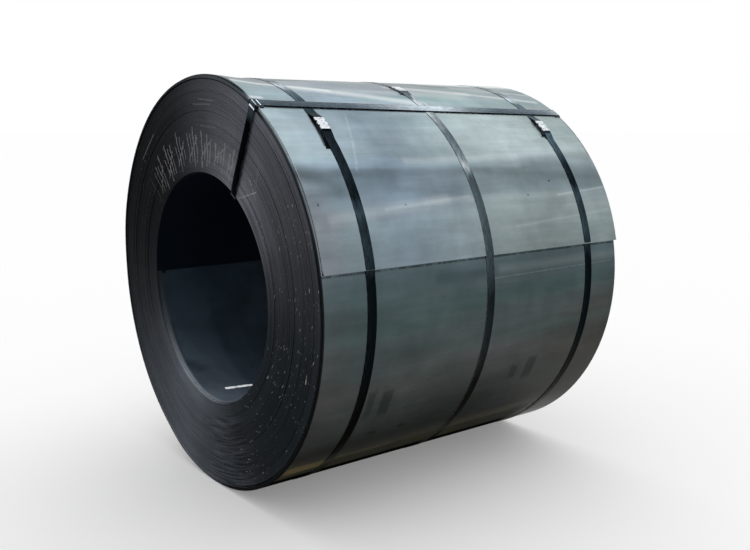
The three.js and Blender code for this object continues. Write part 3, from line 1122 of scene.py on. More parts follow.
@dataclass(frozen=True)
class SlitEdge(Finish):
    """The cut edges of the laps: charcoal with a painted combed sheen, painted light and shade, lap lines,
    flecks and chalk.
    """

    name = "slit_edge"
    # Dark and light ends of the painted sheen.
    dark: Colour = (0.0042, 0.0055, 0.0068)
    light: Colour = (0.076, 0.08, 0.093)
    sheen_angle: float = 33.0
    # Painted light round the turn.
    sheen_lobes: Stops = by_turn(
        (-180, 1.2), (-166, 1.55), (-154, 1.5), (-140, 1.15), (-120, 0.94), (-80, 0.76), (-60, 0.5),
        (-24, 0.62), (0, 0.97), (12, 1.27), (24, 1.42), (38, 1.22), (56, 1.04), (86, 1.06), (98, 1.4),
        (110, 1.9), (133, 1.85), (146, 1.18), (158, 0.98), (180, 1.2),
    )
    ring_tones: Stops = (
        (0.4, 1.15), (0.43, 1.1), (0.46, 1.0), (0.49, 0.92), (0.52, 1.0), (0.55, 1.12), (0.58, 0.95),
        (0.61, 1.06),
    )
    grooves: tuple[Place, ...] = ((0.566, 0.3), (0.622, 0.2))
    fleck_rows: tuple[float, ...] = (60.0, 83.0, 102.0, 122.0, 132.0)
    rim_starts: Stops = by_turn(
        (0, 0.66), (20, 0.66), (27, 0.658), (40, 0.656), (60, 0.656), (75, 0.659), (110, 0.659),
        (130, 0.658), (140, 0.656),
    )
    # Painted shade: the dark line round the rim.
    rim_shade_tones: Stops = by_turn(
        (0, 0.075), (24, 0.075), (28, 0.04), (32, 0.004), (34, 0.008), (37, 0.055), (42, 0.05),
        (50, 0.028), (60, 0.008), (75, 0.0025),
    )
    # Painted light on the inmost lap's edge at the bore's mouth.
    mouth: Stops = by_turn(
        (-180, 0.42), (-165, 0.46), (-151, 0.48), (-140, 0.33), (-129, 0.2), (-118, 0.1), (-106, 0.04),
        (-95, 0.012), (-85, 0.002), (85, 0.002), (140, 0.04), (160, 0.12), (180, 0.42),
    )
    strap_shade: Streak = Streak((0.212, 0.33), (0.312, 0.54), 0.036, 0.85)
    scratches: tuple[Streak, ...] = (
        Streak((-0.456, 0.399), (-0.35, 0.488), 0.004, 0.3, 0.25),
        Streak((0.584, -0.17), (0.578, -0.195), 0.005, 0.8, 0.25),
        Streak((0.245, 0.316), (0.335, 0.33), 0.005, 0.5, 0.25),
        Streak((0.3, 0.365), (0.33, 0.31), 0.005, 0.4, 0.25),
        Streak((0.335, 0.345), (0.35, 0.4), 0.005, 0.3, 0.25),
        Streak((-0.04, 0.585), (0.07, 0.582), 0.007, 0.16, 0.25),
        Streak((-0.01, 0.6), (0.09, 0.592), 0.006, 0.14, 0.25),
        Streak((0.0, 0.522), (0.1, 0.515), 0.006, 0.12, 0.25),
    )
    low_cast: Colour = (0.94, 1.02, 1.04)
    fleck_tone: Colour = (0.3, 0.31, 0.31)
    # Painted light on the cut edge of the outermost lap.
    first_lap_highlight: tuple[Colour, Colour] = ((0.38, 0.41, 0.43), (0.8, 0.85, 0.88))
    rim_cast: Colour = (0.8, 1.0, 1.1)
    mouth_cast: Colour = (0.92, 1.0, 1.1)
    chalk_tone: Colour = (0.215, 0.215, 0.22)
    scratch_tone: Colour = (0.4, 0.41, 0.42)
    shade_tone: Colour = (0.003, 0.004, 0.005)

    def write(self, sheet: NodeSheet) -> dict[str, Value]:
        """Writes the nodes, as Finish.write says."""
        place = sheet.effect(CoilPlace)
        angle, radius, cosine, sine = (place[name] for name in ("Angle", "Radius", "Cosine", "Sine"))
        side, up = sine * radius, cosine * radius
        # Painted sheen, then painted light: lighter on the side where the outer end lies, by turn, and near
        # the rim.
        tone = self._sheen(cosine, sine, radius).choose(self.dark, self.light)
        tone = tone.clouded((up, side), 3.0, 4.0, 0.6, 0.15).tint(sine.line(0.25, 1.0))
        turned = angle.line(1.0 / FULL_TURN, 0.5)
        tone = tone.tint(turned.ramp(self.sheen_lobes)).tint(radius.ramp(self.ring_tones))
        tone = tone.mix(radius.ease(0.612, 0.634), tone.tint(sine.ease(-0.7, 0.0, 0.8, 1.2)))
        tone = tone.tint(self.low_cast, cosine.fade(-0.7, 0.3))
        tone = tone.tint(self._lap_lines(cosine, sine, radius))
        tone = tone.mix(self._flecks(angle, radius, (up, side)), self.fleck_tone)
        tone = tone.tint(noise((side, up), 260.0, 2.0, 0.6).onto(0.84, 1.2))
        # Painted shade along the rim.
        over_rim = radius - turned.ramp(self.rim_starts)
        rim = over_rim.ease(-0.0025, 0.0025) * sine.ease(0.05, 0.2, 0.0, 0.97)
        tone = tone.mix(rim, turned.ramp(self.rim_shade_tones).tint(self.rim_cast))
        # Painted light on the outermost lap's edge.
        turn = sheet.attribute("mark")
        bright = turn.ease(0.062, 0.08).choose(*self.first_lap_highlight)
        tone = tone.mix(turn.within(0.0, 0.004, 0.145, 0.158), bright)
        # Painted light on the inmost lap's edge.
        inmost = radius.fade(WINDING.bore_radius + 0.0037, WINDING.bore_radius + 0.0043)
        tone = tone.mix(inmost, turned.ramp(self.mouth).tint(self.mouth_cast))
        tally = sheet.effect(ChalkTally, angle, radius)["Mask"]
        tone = tone.mix(tally * (place["Along"] < 0.0), self.chalk_tone)
        tone = marked(tone, self.scratches, self.scratch_tone, side, up)
        tone = marked(tone, (self.strap_shade,), self.shade_tone, side, up)
        return {"Base Color": tone, "Metallic": 0.0, "Roughness": 0.6, "Specular IOR Level": 0.02}

    def _flecks(self, angle: Wire, radius: Wire, on_face: tuple[Wire, Wire]) -> Wire:
        """Where pale flecks lie: scattered on the side of the strip's outer end, denser in rows.

        Args:
            angle: The angle round the axis.
            radius: The distance from the axis.
            on_face: The place on the end face.

        Returns:
            The flecks' mask.
        """
        arc = angle.math("RADIANS") * radius
        speckle = noise((arc * 62.0, radius * 140.0), 1.0, 1.0, 0.5)
        region = noise(on_face, 6.0, 3.0, 0.6).ease(0.42, 0.58, 0.0, 0.8)
        side = angle.ease(30.0, 62.0, 0.25, 1.0) * angle.ease(150.0, 176.0, 1.0, 0.25)
        rows = 0.0
        for row in self.fleck_rows:
            rows = abs(angle - row).fade(0.6, 1.4).most(rows)
        rows = rows * noise(on_face, 9.0, 2.0, 0.6).ease(0.4, 0.55)
        return (speckle + rows * 0.035).ease(0.68, 0.74, 0.0, 0.9) * (region * side).most(rows)

    def _sheen(self, cosine: Wire, sine: Wire, radius: Wire) -> Wire:
        """The painted sheen of the combed edges round the axis: two light and two dark quarters.

        Args:
            cosine: The angle's cosine.
            sine: Its sine.
            radius: The distance from the axis.

        Returns:
            The share of the light tone.
        """
        lean = math.radians(2 * self.sheen_angle)
        wave = (cosine * cosine - sine * sine) * math.cos(lean) + cosine * sine * 2.0 * math.sin(lean)
        return wave.line(0.5, 0.5, clamp=True) ** 1.5 * radius.ease(0.38, 0.64, 1.0, 0.8)

    def _lap_lines(self, cosine: Wire, sine: Wire, radius: Wire) -> Wire:
        """Fine rings of lighter and darker laps, and the dark joints between the laps.

        Args:
            cosine: The angle's cosine.
            sine: Its sine.
            radius: The distance from the axis.

        Returns:
            What the tone is multiplied by.
        """
        fine = noise((radius * 240.0, cosine, sine), 1.0, 3.0, 0.6).onto(-1.0, 1.0)
        broad = noise((radius * 50.0, cosine, sine), 1.0, 3.0, 0.6).onto(0.9, 1.1)
        rings = (fine * sine.ease(0.1, 0.8, 0.08, 0.2) + 1.0) * broad
        arcs = noise((radius * 155.0, cosine, sine * 4.0), 1.0, 2.0, 0.6).ease(0.35, 0.65, 0.48, 1.75)
        low = cosine.ease(-0.84, -0.95) * sine.ease(-0.12, 0.06, 0.15, 1.0) * radius.ease(0.415, 0.45)
        rings = rings.mix(low, rings * arcs)
        for place, depth in self.grooves:
            groove = abs(radius - place).ease(0.001, 0.004, depth, 0.0) * cosine.ease(0.1, 0.5)
            rings = rings * (1.0 - groove)
        joint = abs(radius.sheet.attribute("up") - 0.5).ease(0.36, 0.5)
        return rings * (1.0 - joint * sine.ease(-0.3, 0.5, 0.14, 0.34))


@dataclass(frozen=True)
class BoreScale(Finish):
    """The inside of the strip: near-black above its inner end as painted shade, dark blue-grey below it
    with painted light.
    """

    name = "bore_scale"
    # Painted shade above the inner end.
    above: Colour = (0.003, 0.006, 0.011)
    # Painted light: lighter towards the bottom and the mouth.
    below: Stops = (
        (0.0, (0.022, 0.036, 0.05)),
        (0.2, (0.046, 0.068, 0.09)),
        (0.45, (0.096, 0.13, 0.17)),
        (0.8, (0.19, 0.235, 0.295)),
        (1.0, (0.27, 0.32, 0.38)),
    )
    stroke: Streak = Streak((-0.528, -169.9), (-0.436, -171.8), 0.012, 0.95, 0.35)
    stroke_stretch: float = 2.6
    # The stroke's painted glow.
    stroke_glow: Colour = (0.46, 0.48, 0.5)
    corner: Smudge = Smudge((-0.603, -90.2), (0.012, 0.012), 0.9)
    # Painted light on the lip of the bore.
    lip: Stops = by_turn(
        (-180, 0.5), (-165, 0.56), (-151, 0.66), (-140, 0.47), (-129, 0.29), (-118, 0.15), (-106, 0.07),
        (-95, 0.04), (150, 0.08), (165, 0.22), (180, 0.5),
    )
    shades: tuple[Streak, ...] = (
        Streak((-0.592, -145.0), (-0.562, -149.5), 0.11, 0.5),
        Streak((-0.5975, -118.0), (-0.5975, -146.0), 0.012, 0.3),
    )
    corner_tone: Colour = (0.002, 0.003, 0.004)
    shade_tone: Colour = (0.012, 0.018, 0.026)
    lip_cast: Colour = (0.9, 1.0, 1.12)
    stroke_tone: Colour = (0.95, 0.95, 0.93)

    def write(self, sheet: NodeSheet) -> dict[str, Value]:
        """Writes the nodes, as Finish.write says."""
        place = sheet.effect(CoilPlace)
        along, arc = place["Along"], place["Arc"]
        down = (place["Angle"] * -1.0) % FULL_TURN
        # Painted shade deeper in the bore.
        inward = along.ease(-0.6, -0.42, 0.62, 0.42) * along.ease(-0.45, -0.42, 1.15, 0.75)
        tone = (down.ease(88.0, 182.0) * inward).ramp(self.below)
        tone = tone.clouded((along * 2.0, arc), 2.5, 4.0, 0.6, 0.25)
        above = (down < -WINDING.head_angle).most(down > 290.0)
        tone = tone.mix(above, self.above)
        tone = marked(tone, (self.corner,), self.corner_tone, along, arc, ARC_OF_DEGREE)
        tone = marked(tone, self.shades, self.shade_tone, along, arc, ARC_OF_DEGREE)
        # Painted light on the lip.
        lip = place["Angle"].line(1.0 / FULL_TURN, 0.5).ramp(self.lip)
        lip = lip.tint(along.ease(-0.622, -0.615, 0.5, 1.05)).tint(self.lip_cast)
        tone = tone.mix(along.fade(-0.616, -0.597) * (1.0 - above), lip)
        stretch = self.stroke_stretch
        stroke = self.stroke.mask(along, arc / stretch, ARC_OF_DEGREE / stretch)
        # The white stroke also has a painted glow.
        return {
            "Base Color": tone.mix(stroke, self.stroke_tone),
            "Metallic": 0.25,
            "Roughness": 0.42,
            "Specular IOR Level": 0.06,
            "Emission Color": stroke.choose(BLACK, self.stroke_glow),
            "Emission Strength": 1.0,
        }


# ---------------------------------------------------------------- finishes of the strapping


@dataclass(frozen=True)
class StrapLacquer(Finish):
    """Blue-black lacquered strap, with painted light where it faces up and painted shade below."""

    name: str = "strap_lacquer"
    cast: Colour = (0.62, 1.0, 1.28)
    # Painted light and shade by angle: grey where the strap faces up, near-black below.
    lit_tones: Stops = by_angle(
        (0, 0.24), (4, 0.2), (8, 0.14), (12, 0.09), (14, 0.14), (16, 0.47), (18, 0.58), (19.5, 0.35),
        (21, 0.2), (23, 0.11), (31, 0.04), (41, 0.012), (56, 0.012), (61, 0.006), (65, 0.05),
        (69, 0.02), (73, 0.028), (79, 0.018), (82, 0.005), (124, 0.004), (133, 0.0025),
        (138, 0.033), (143, 0.02),
    )
    # Painted light along the axis, for a strap that runs along the coil.
    along: Stops | None = None
    # Painted highlights, partly wear, where the eye band bends over the edges.
    crease_highlights: tuple[tuple[str, float, float, float], ...] = (
        ("Radius", 0.6633, 0.0014, 0.9),
        ("Along", -0.6246, 0.0002, 0.55),
        ("Along", -0.6103, 0.0006, 0.9),
    )
    # Painted shade: a dark wedge that narrows across the strap between these angles.
    taper: tuple[float, float] | None = None
    shaded: float = 0.25
    fade: float = 0.4
    caked_below: float = 134.0
    wedge_shade_tone: Colour = (0.125, 0.125, 0.125)
    low_cast: Colour = (1.1, 1.06, 0.8)
    rubbed_tone: Colour = (0.14, 0.165, 0.18)

    def write(self, sheet: NodeSheet) -> dict[str, Value]:
        """Writes the nodes, as Finish.write says."""
        place = sheet.effect(CoilPlace)
        down = abs(place["Angle"])
        run, across = sheet.attribute("run"), sheet.attribute("across")
        patchy = noise((run * 14.0, across * 1.5), 1.0, 4.0)
        level = down + patchy.onto(-1.0, 1.0)
        tone = self._lit_along(place) if self.along else (level / HALF_TURN).ramp(self.lit_tones)
        # Painted shade in a wedge across the strap.
        if self.taper:
            dark_share = level.ease(*self.taper, 1.15, -0.1)
            light = (across.line(0.5, 0.5) - dark_share).ease(-0.12, 0.12)
            tone = light.most(level > self.taper[1] + 2.0).choose(self.wedge_shade_tone, tone)
        faint_cast = tuple(lerp(1.0, part, self.fade) for part in self.cast)
        cast = tone.ease(0.06, 0.26).choose(self.cast, faint_cast)
        tone = tone.tint(cast.mix(level.ease(98.0, 126.0), self.low_cast))
        # Painted light: lighter at one edge, darker at the other.
        tone = tone.tint(across.ease(-0.9, 0.9, 1.15, 0.85))
        tone = tone.clouded((run * 40.0, across * 4.0), 1.0, 4.0, 0.6, 0.35)
        # Painted shade on the tail and just past the seal.
        tone = tone.tint(sheet.attribute("mark").ease(0.0, 1.0, 1.0, self.shaded))
        rub = sheet.effect(EdgeRub, STRAP.width, 0.0012)["Mask"]
        return {
            "Base Color": tone.mix(rub * level.ease(78.0, 90.0, 0.3, 0.06), self.rubbed_tone),
            "Metallic": down.fade(self.caked_below, self.caked_below + 7.0),
            "Roughness": patchy.onto(0.24, 0.36),
            "Specular IOR Level": 0.0,
            "Specular Tint": (0.5, 0.5, 0.5, 1.0),
        }

    def _lit_along(self, place: dict[str, Wire]) -> Wire:
        """The tone of a strap that runs along the coil, with painted light along it, painted shade down the
        end faces and painted highlights, partly wear, at the bends over the edges.

        Args:
            place: Where the point lies on the coil.

        Returns:
            The tone.
        """
        radius = place["Radius"]
        tone = place["Along"].line(1.0 / ALONG_SPAN, 0.5).ramp(self.along)
        # Painted shade where the band runs down the end faces and through the bore.
        tone = radius.ease(0.612, 0.648, 0.0015, 0.036).mix(radius.ease(0.67, 0.674), tone)
        for measure, middle, half, wear_and_highlight in self.crease_highlights:
            tone = tone.mix(abs(place[measure] - middle).fade(half, half + 0.002), (wear_and_highlight,) * 3)
        return tone


# Painted light and shade of the straps: tones by angle, and the eye band's along the axis.
MIDDLE_TONES: Stops = by_angle(
    (0, 0.62), (4, 0.6), (8, 0.46), (10, 0.22), (12, 0.12), (13.5, 0.1), (15.5, 0.25), (18, 0.42),
    (26, 0.5), (31, 0.46), (36, 0.25), (43, 0.1), (50, 0.14), (54, 0.3), (58, 0.052), (66, 0.088),
    (72, 0.07), (84, 0.042), (90, 0.012), (98, 0.015), (108, 0.017), (116, 0.008), (128, 0.006),
    (133, 0.0035), (138, 0.019), (143, 0.014),
)
RIGHT_TONES: Stops = by_angle(
    (0, 0.95), (4, 0.68), (9, 0.5), (11, 0.3), (12.5, 0.19), (15, 0.17), (17, 0.34), (18, 0.33),
    (19.5, 0.15), (21, 0.24), (23, 0.36), (24.5, 0.66), (26, 0.44), (28, 0.16), (33, 0.1), (42, 0.09),
    (50, 0.05), (55, 0.012), (61, 0.008), (65, 0.05), (69, 0.03), (74, 0.045), (80, 0.02),
    (83, 0.005), (104, 0.0055), (116, 0.012), (132, 0.02),
)
EYE_TONES: Stops = by_along(
    (-0.62, 0.05), (-0.61, 0.06), (-0.604, 0.09), (-0.55, 0.07), (-0.3, 0.105), (-0.18, 0.2),
    (-0.06, 0.4), (0.06, 0.56), (0.2, 0.2), (0.34, 0.1), (0.48, 0.125), (0.57, 0.16), (0.6, 0.25),
    (0.64, 0.36),
)


@dataclass(frozen=True)
class StrapEdge(Finish):
    """The narrow edges and the underside of a strap: near-black as painted shade, lighter in patches of
    wear, pale near the top as painted light.
    """

    name: str = "strap_edge"
    # Near-black, painted shade.
    dark: Colour = (0.003, 0.004, 0.005)
    wear_and_highlight: Colour = (0.05, 0.06, 0.068)
    # Painted light near the top of the coil.
    upper: Colour = (0.6, 0.63, 0.65)

    def write(self, sheet: NodeSheet) -> dict[str, Value]:
        """Writes the nodes, as Finish.write says."""
        wear_and_highlight = noise(sheet.on_object(), 35.0, 4.0, 0.6).ease(0.45, 0.75, 0.0, 0.3)
        tone = (wear_and_highlight * sheet.attribute("up").ease(0.1, 0.6)).choose(self.dark, self.wear_and_highlight)
        tone = tone.mix(abs(sheet.effect(CoilPlace)["Angle"]).fade(14.0, 20.0), self.upper)
        return plain_steel(tone, 0.3)


@dataclass(frozen=True)
class Zinc(Finish):
    """Bright pitted zinc of the seals."""

    name: str = "pitted_zinc"
    bright: float = 1.0
    darkened_from: float = 180.0
    spangle: Stops = ((0.34, (0.16, 0.18, 0.2)), (0.44, (0.42, 0.45, 0.48)), (0.54, (0.58, 0.61, 0.64)))
    darkened_tone: Colour = (0.1, 0.115, 0.125)

    def write(self, sheet: NodeSheet) -> dict[str, Value]:
        """Writes the nodes, as Finish.write says."""
        at = sheet.on_object()
        spangle = noise(at, 150.0, 3.0, 0.65)
        scuffed = noise(at, 320.0, 2.0, 0.7).ease(0.35, 0.55, 0.7, 1.05)
        tone = spangle.ramp(self.spangle).tint(scuffed * self.bright)
        # Darker past an angle down the coil.
        down = abs(sheet.effect(CoilPlace)["Angle"])
        darkened = down.ease(self.darkened_from, self.darkened_from + 1.2, 0.0, 0.85)
        return {
            "Base Color": tone.mix(darkened, self.darkened_tone),
            "Metallic": 1.0,
            "Roughness": 0.36,
            "Normal": spangle.bump(0.7, 0.001),
        }


@dataclass(frozen=True)
class GuardSteel(Finish):
    """Steel of the edge guards: grey as painted light where they lie on the coil, black as painted shade
    down its ends.
    """

    name = "guard_painted_light"
    black: Stops = ((0.3, (0.004, 0.005, 0.006)), (0.7, (0.01, 0.012, 0.014)))
    grey: Stops = ((0.3, (0.045, 0.056, 0.063)), (0.7, (0.09, 0.108, 0.118)))

    def write(self, sheet: NodeSheet) -> dict[str, Value]:
        """Writes the nodes, as Finish.write says."""
        cloudy = noise(sheet.on_object(), 60.0, 4.0, 0.6)
        black, grey = cloudy.ramp(self.black), cloudy.ramp(self.grey)
        # Painted light on top of the coil, painted shade down the end face.
        top = WINDING.outer_radius
        lit_top = sheet.effect(CoilPlace)["Radius"].ease(top + 0.0017, top + 0.0022)
        return plain_steel(black.mix(lit_top, grey), 0.5)


# ---------------------------------------------------------------- the wound strip


@dataclass
class WoundStrip:
    """The strip, rolled up lap on lap from its tail to its head."""

    winding: Winding = WINDING
    air: float = 0.0001
    segments_in_turn: int = 128
    settle: float = 0.08
    last_ring: int = 12
    ring_levels: int = 5
    wanders_in_turn: float = 5.0
    cut_shares: tuple[float, ...] = (0.2, 0.8, 1.0)
    ring_jitter: Drift = Drift(SEED, 0.0, 0.0004)
    wander: Drift = Drift(SEED + 1, 0.0, 0.0006)

    def lap_slide(self, lap: int) -> float:
        """How far a whole lap has slid along the axis.

        Args:
            lap: The lap, counted from the tail.

        Returns:
            The slide in metres.
        """
        w = self.winding
        if lap < w.rim_laps:
            return 0.0
        if lap == w.rim_laps:
            return w.rim_gap_depth
        middle = w.radius(lap + 0.5) - w.strip_thickness / 2
        ring_width = w.laps_in_ring * w.strip_thickness
        ring = math.floor((middle - w.bore_radius - w.strip_thickness) / ring_width)
        ring = max(0, min(ring, self.last_ring))
        level = (ring * ring) % self.ring_levels
        return w.ring_relief * level / (self.ring_levels - 1) + self.ring_jitter.level(lap)

    def slide(self, turn: float) -> float:
        """How far the strip has slid along the axis.

        Args:
            turn: The place on the strip in turns, counted from the tail.

        Returns:
            The slide in metres.
        """
        w = self.winding
        if turn < 1.0:
            return w.outer_lap_slide * (1.0 - turn)
        lap = round(turn)
        share = smooth((turn - lap) / (2 * self.settle) + 0.5)
        before = self.lap_slide(lap - 1) if lap > 1 else 0.0
        here = lerp(before, self.lap_slide(lap), share)
        if w.rim_laps + 1 <= turn:
            here += self.wander.at(turn * self.wanders_in_turn)
        inmost = smooth((turn - (w.turns - 1.0)) / self.settle)
        return lerp(here, w.inner_lap_slide, inmost)

    def stations(self) -> list[Station]:
        """The strip's cross-sections from the tail to the head."""
        w = self.winding
        made = []
        for turn in spread(0.0, w.turns, 1.0 / self.segments_in_turn):
            degrees = w.angle(turn)
            under = w.radius(turn) - (w.strip_thickness - self.air)
            point = AXIS.point(self.slide(turn), under, degrees)
            made.append(Station(point, AXIS.outward(degrees), ALONG, turn))
        return made

    def build(self) -> bpy.types.Object:
        """Rolls the strip up and gives it its finishes."""
        w = self.winding
        cuts = tuple(w.near_end + NEAR_END.reach * share for share in self.cut_shares)
        bm = FlatBar(w.strip_width, w.strip_thickness - self.air, cuts=cuts).lay(self.stations())
        finishes = [finish.material() for finish in (MillScale(), SlitEdge(), BoreScale())]
        return piece(bm, "wound_strip", finishes, ["coil"])


# ---------------------------------------------------------------- strapping


@dataclass(frozen=True)
class StrapSizes:
    """Sizes that every strap and seal shares."""

    width: float = 0.032
    thickness: float = 0.0009
    clearance: float = 0.0003
    rounding: float = 0.0002
    end_reach: float = 0.006
    step: float = 0.018

    @property
    def layer(self) -> float:
        """From the underside of one layer to the underside of the next."""
        return self.thickness + self.clearance

    def lay(self, stations: Sequence[Station]) -> bmesh.types.BMesh:
        """Lays the strap along a route, pressed flat where it comes under the coil."""
        bm = FlatBar(self.width, self.thickness, self.rounding, lanes=4).lay(stations)
        for vert in bm.verts:
            vert.co.z = max(vert.co.z, 0.0)
        return bm


STRAP = StrapSizes()


def rounded_route(corners: Sequence[Vector], radius: float, steps: int) -> list[tuple[Vector, Vector]]:
    """A flat route through corners, each rounded off by an arc.

    Args:
        corners: The corners, both ends included.
        radius: Radius of the arcs.
        steps: Number of steps in an arc.

    Returns:
        Each point of the route with the direction to its left.
    """
    points = [corners[0].copy()]
    for before, corner, after in zip(corners, corners[1:], corners[2:]):
        back = (before - corner).normalized()
        ahead = (after - corner).normalized()
        half = math.acos(max(-1.0, min(1.0, back.dot(ahead)))) / 2
        centre = corner + (back + ahead).normalized() * (radius / math.sin(half))
        start = corner + back * (radius / math.tan(half)) - centre
        turn = math.pi - 2 * half
        if back.x * ahead.y - back.y * ahead.x > 0.0:
            turn = -turn
        points += [centre + Matrix.Rotation(turn * i / steps, 2) @ start for i in range(steps + 1)]
    points.append(corners[-1].copy())
    route = []
    for i, point in enumerate(points):
        ahead = points[min(i + 1, len(points) - 1)] - point
        back = point - points[max(i - 1, 0)]
        way = (ahead.normalized() + back.normalized()).normalized()
        stretch = 1.0
        if 0 < i < len(points) - 1:
            stretch = 1.0 / max(0.5, way.dot(ahead.normalized()))
        route.append((point, Vector((-way.y, way.x)) * stretch))
    return route


def carried_to(x: Vector, y: Vector, z: Vector, origin: Vector) -> Matrix:
    """The matrix that turns a piece's own axes to three directions and carries it to a place."""
    place = Matrix((x, y, z)).transposed().to_4x4()
    place.translation = origin
    return place


@dataclass
class Seal:
    """A sleeve folded round both ends of a strap, its sides crimped in."""

    finish: Zinc = Zinc()
    length: float = 0.052
    wall: float = 0.001
    slot: float = 0.009
    notch_width: float = 0.01
    notch_depth: float = 0.0045
    notch_pitch: float = 0.02
    notch_from: float = 0.6
    notch_lift: float = 0.0006
    bend_radius: float = 0.0012

    @property
    def half_width(self) -> float:
        """From the middle of the seal to its side."""
        return STRAP.width / 2 + STRAP.clearance + self.wall

    def section(self) -> list[Station]:
        """The sleeve's cross-section as stations, from one folded edge to the other."""
        slot, outer = self.slot / 2, self.half_width
        low = -STRAP.clearance - self.wall
        high = STRAP.thickness + STRAP.layer + STRAP.clearance + self.wall
        places = ((slot, low), (outer, low), (outer, high), (-outer, high), (-outer, low), (-slot, low))
        route = rounded_route([Vector(place) for place in places], self.bend_radius, 4)
        across = Vector((0.0, 1.0, 0.0))
        return [
            Station(Vector((point.x, 0.0, point.y)), Vector((left.x, 0.0, left.y)), across)
            for point, left in route
        ]

    def crimp(self, along: float) -> float:
        """How far the side is pressed in at a place along the seal, from 0 to 1."""
        gap = min(abs(along - self.notch_pitch / 2), abs(along + self.notch_pitch / 2))
        return max(0.0, 1.0 - gap / (self.notch_width / 2))

    def build(self, name: str, place: Matrix) -> bpy.types.Object:
        """Makes the seal and carries it to its place.

        Args:
            name: Name of the seal.
            place: What carries its own frame (X across the strap, Y along it, Z up) to its place.

        Returns:
            The seal.
        """
        bm = FlatBar(self.length, self.wall, 0.0, lanes=52).lay(self.section())
        start, run = self.notch_from * self.half_width, (1.0 - self.notch_from) * self.half_width
        for vert in bm.verts:
            pressed = self.crimp(vert.co.y) * smooth((abs(vert.co.x) - start) / run)
            vert.co.x -= math.copysign(self.notch_depth * pressed, vert.co.x)
            vert.co.z += self.notch_lift * pressed
        bmesh.ops.transform(bm, matrix=place, verts=bm.verts)
        return piece(bm, name, [self.finish.material()] * 3, [name])


@dataclass
class BellyBand:
    """A strap once round the outside of the coil, its ends held in a seal."""

    name: str
    centre: float
    seal_angle: float
    tail: float
    finish: StrapLacquer = StrapLacquer()
    edge: StrapEdge = StrapEdge()
    seal: Seal = field(default_factory=Seal)
    seal_lift: float = 0.006
    ramp: float = 0.04
    tail_skew: float = 0.013
    dark_reach: float = 0.01
    step_bridge: float = 0.03
    close_past_step: float = 12.0
    steps: tuple[float, float, float] = (0.5, 1.5, 0.4)

    @property
    def rise(self) -> float:
        """Radius of the flat that the seal lies on."""
        return WINDING.outer_radius + STRAP.clearance + self.seal_lift

    def span(self, length: float) -> float:
        """The angle that a length spans on the outside of the coil."""
        return math.degrees(length / WINDING.outer_radius)

    @property
    def half_seal(self) -> float:
        """Half the angle that the seal spans."""
        return math.degrees(math.atan(self.seal.length / 2 / self.rise))

    def on_coil(self, degrees: float) -> float:
        """Where a taut strap lies on the coil.

        Args:
            degrees: The angle.

        Returns:
            Radius of the strap's underside.
        """
        over_step = self.span(self.step_bridge)
        past = (degrees - WINDING.tail_angle) % FULL_TURN
        if past < over_step:
            landing = WINDING.outside(WINDING.tail_angle + over_step) + STRAP.clearance
            return landing / math.cos(math.radians(over_step - past))
        return WINDING.outside(degrees) + STRAP.clearance

    def level(self, degrees: float) -> float:
        """Where the lower layer lies, with the rise to the seal.

        Args:
            degrees: The angle.

        Returns:
            Radius of the layer's underside.
        """
        off = abs(degrees - self.seal_angle)
        flat = self.rise / math.cos(math.radians(min(off, self.half_seal)))
        share = smooth((off - self.half_seal) / self.span(self.ramp))
        return lerp(flat, self.on_coil(degrees), share)

    def stations(self) -> list[Station]:
        """The strap's cross-sections, from its tail once round to its upper end."""
        lower_end = self.seal_angle + self.half_seal
        upper_end = self.seal_angle - self.half_seal
        tail_end = lower_end + self.span(self.tail)
        step_end = tail_end + self.span(2 * STRAP.clearance)
        step_start = step_end + self.span(STRAP.step)
        near = upper_end - self.span(self.ramp)
        ends = (tail_end, near, step_start + self.close_past_step - FULL_TURN)
        ends += (upper_end - self.span(STRAP.end_reach) - FULL_TURN,)
        angles = [ends[0]]
        for start, end, step in zip(ends, ends[1:], self.steps):
            angles += spread(start, end, step)[1:]
        made = []
        for angle in angles:
            second = angle < tail_end - HALF_TURN
            degrees = angle + FULL_TURN if second else angle
            radius = self.level(degrees) if angle > near or second else self.on_coil(degrees)
            skew = 0.0
            # The mark asks for painted shade on the tail and just past the seal.
            past_seal = (degrees - lower_end) / self.span(self.dark_reach)
            shaded = past_seal > 0.0
            if second:
                radius += STRAP.layer * smooth((step_start - degrees) / (step_start - step_end))
                shaded = shaded and past_seal < 1.0
            else:
                skew = self.tail_skew * max(0.0, (angle - lower_end) / (tail_end - lower_end))
            point = AXIS.point(self.centre - skew, radius, degrees)
            made.append(Station(point, AXIS.outward(degrees), ALONG, float(shaded)))
        return made

    def build(self) -> None:
        """Makes the strap and its seal."""
        name, edge = f"band_{self.name}", self.edge.material()
        bm = STRAP.lay(self.stations())
        piece(bm, name, [self.finish.material(), edge, edge], [name])
        out, onward = AXIS.outward(self.seal_angle), AXIS.onward(self.seal_angle)
        origin = AXIS.point(self.centre, self.rise, self.seal_angle)
        self.seal.build(f"seal_{self.name}", carried_to(ALONG, onward, out, origin))


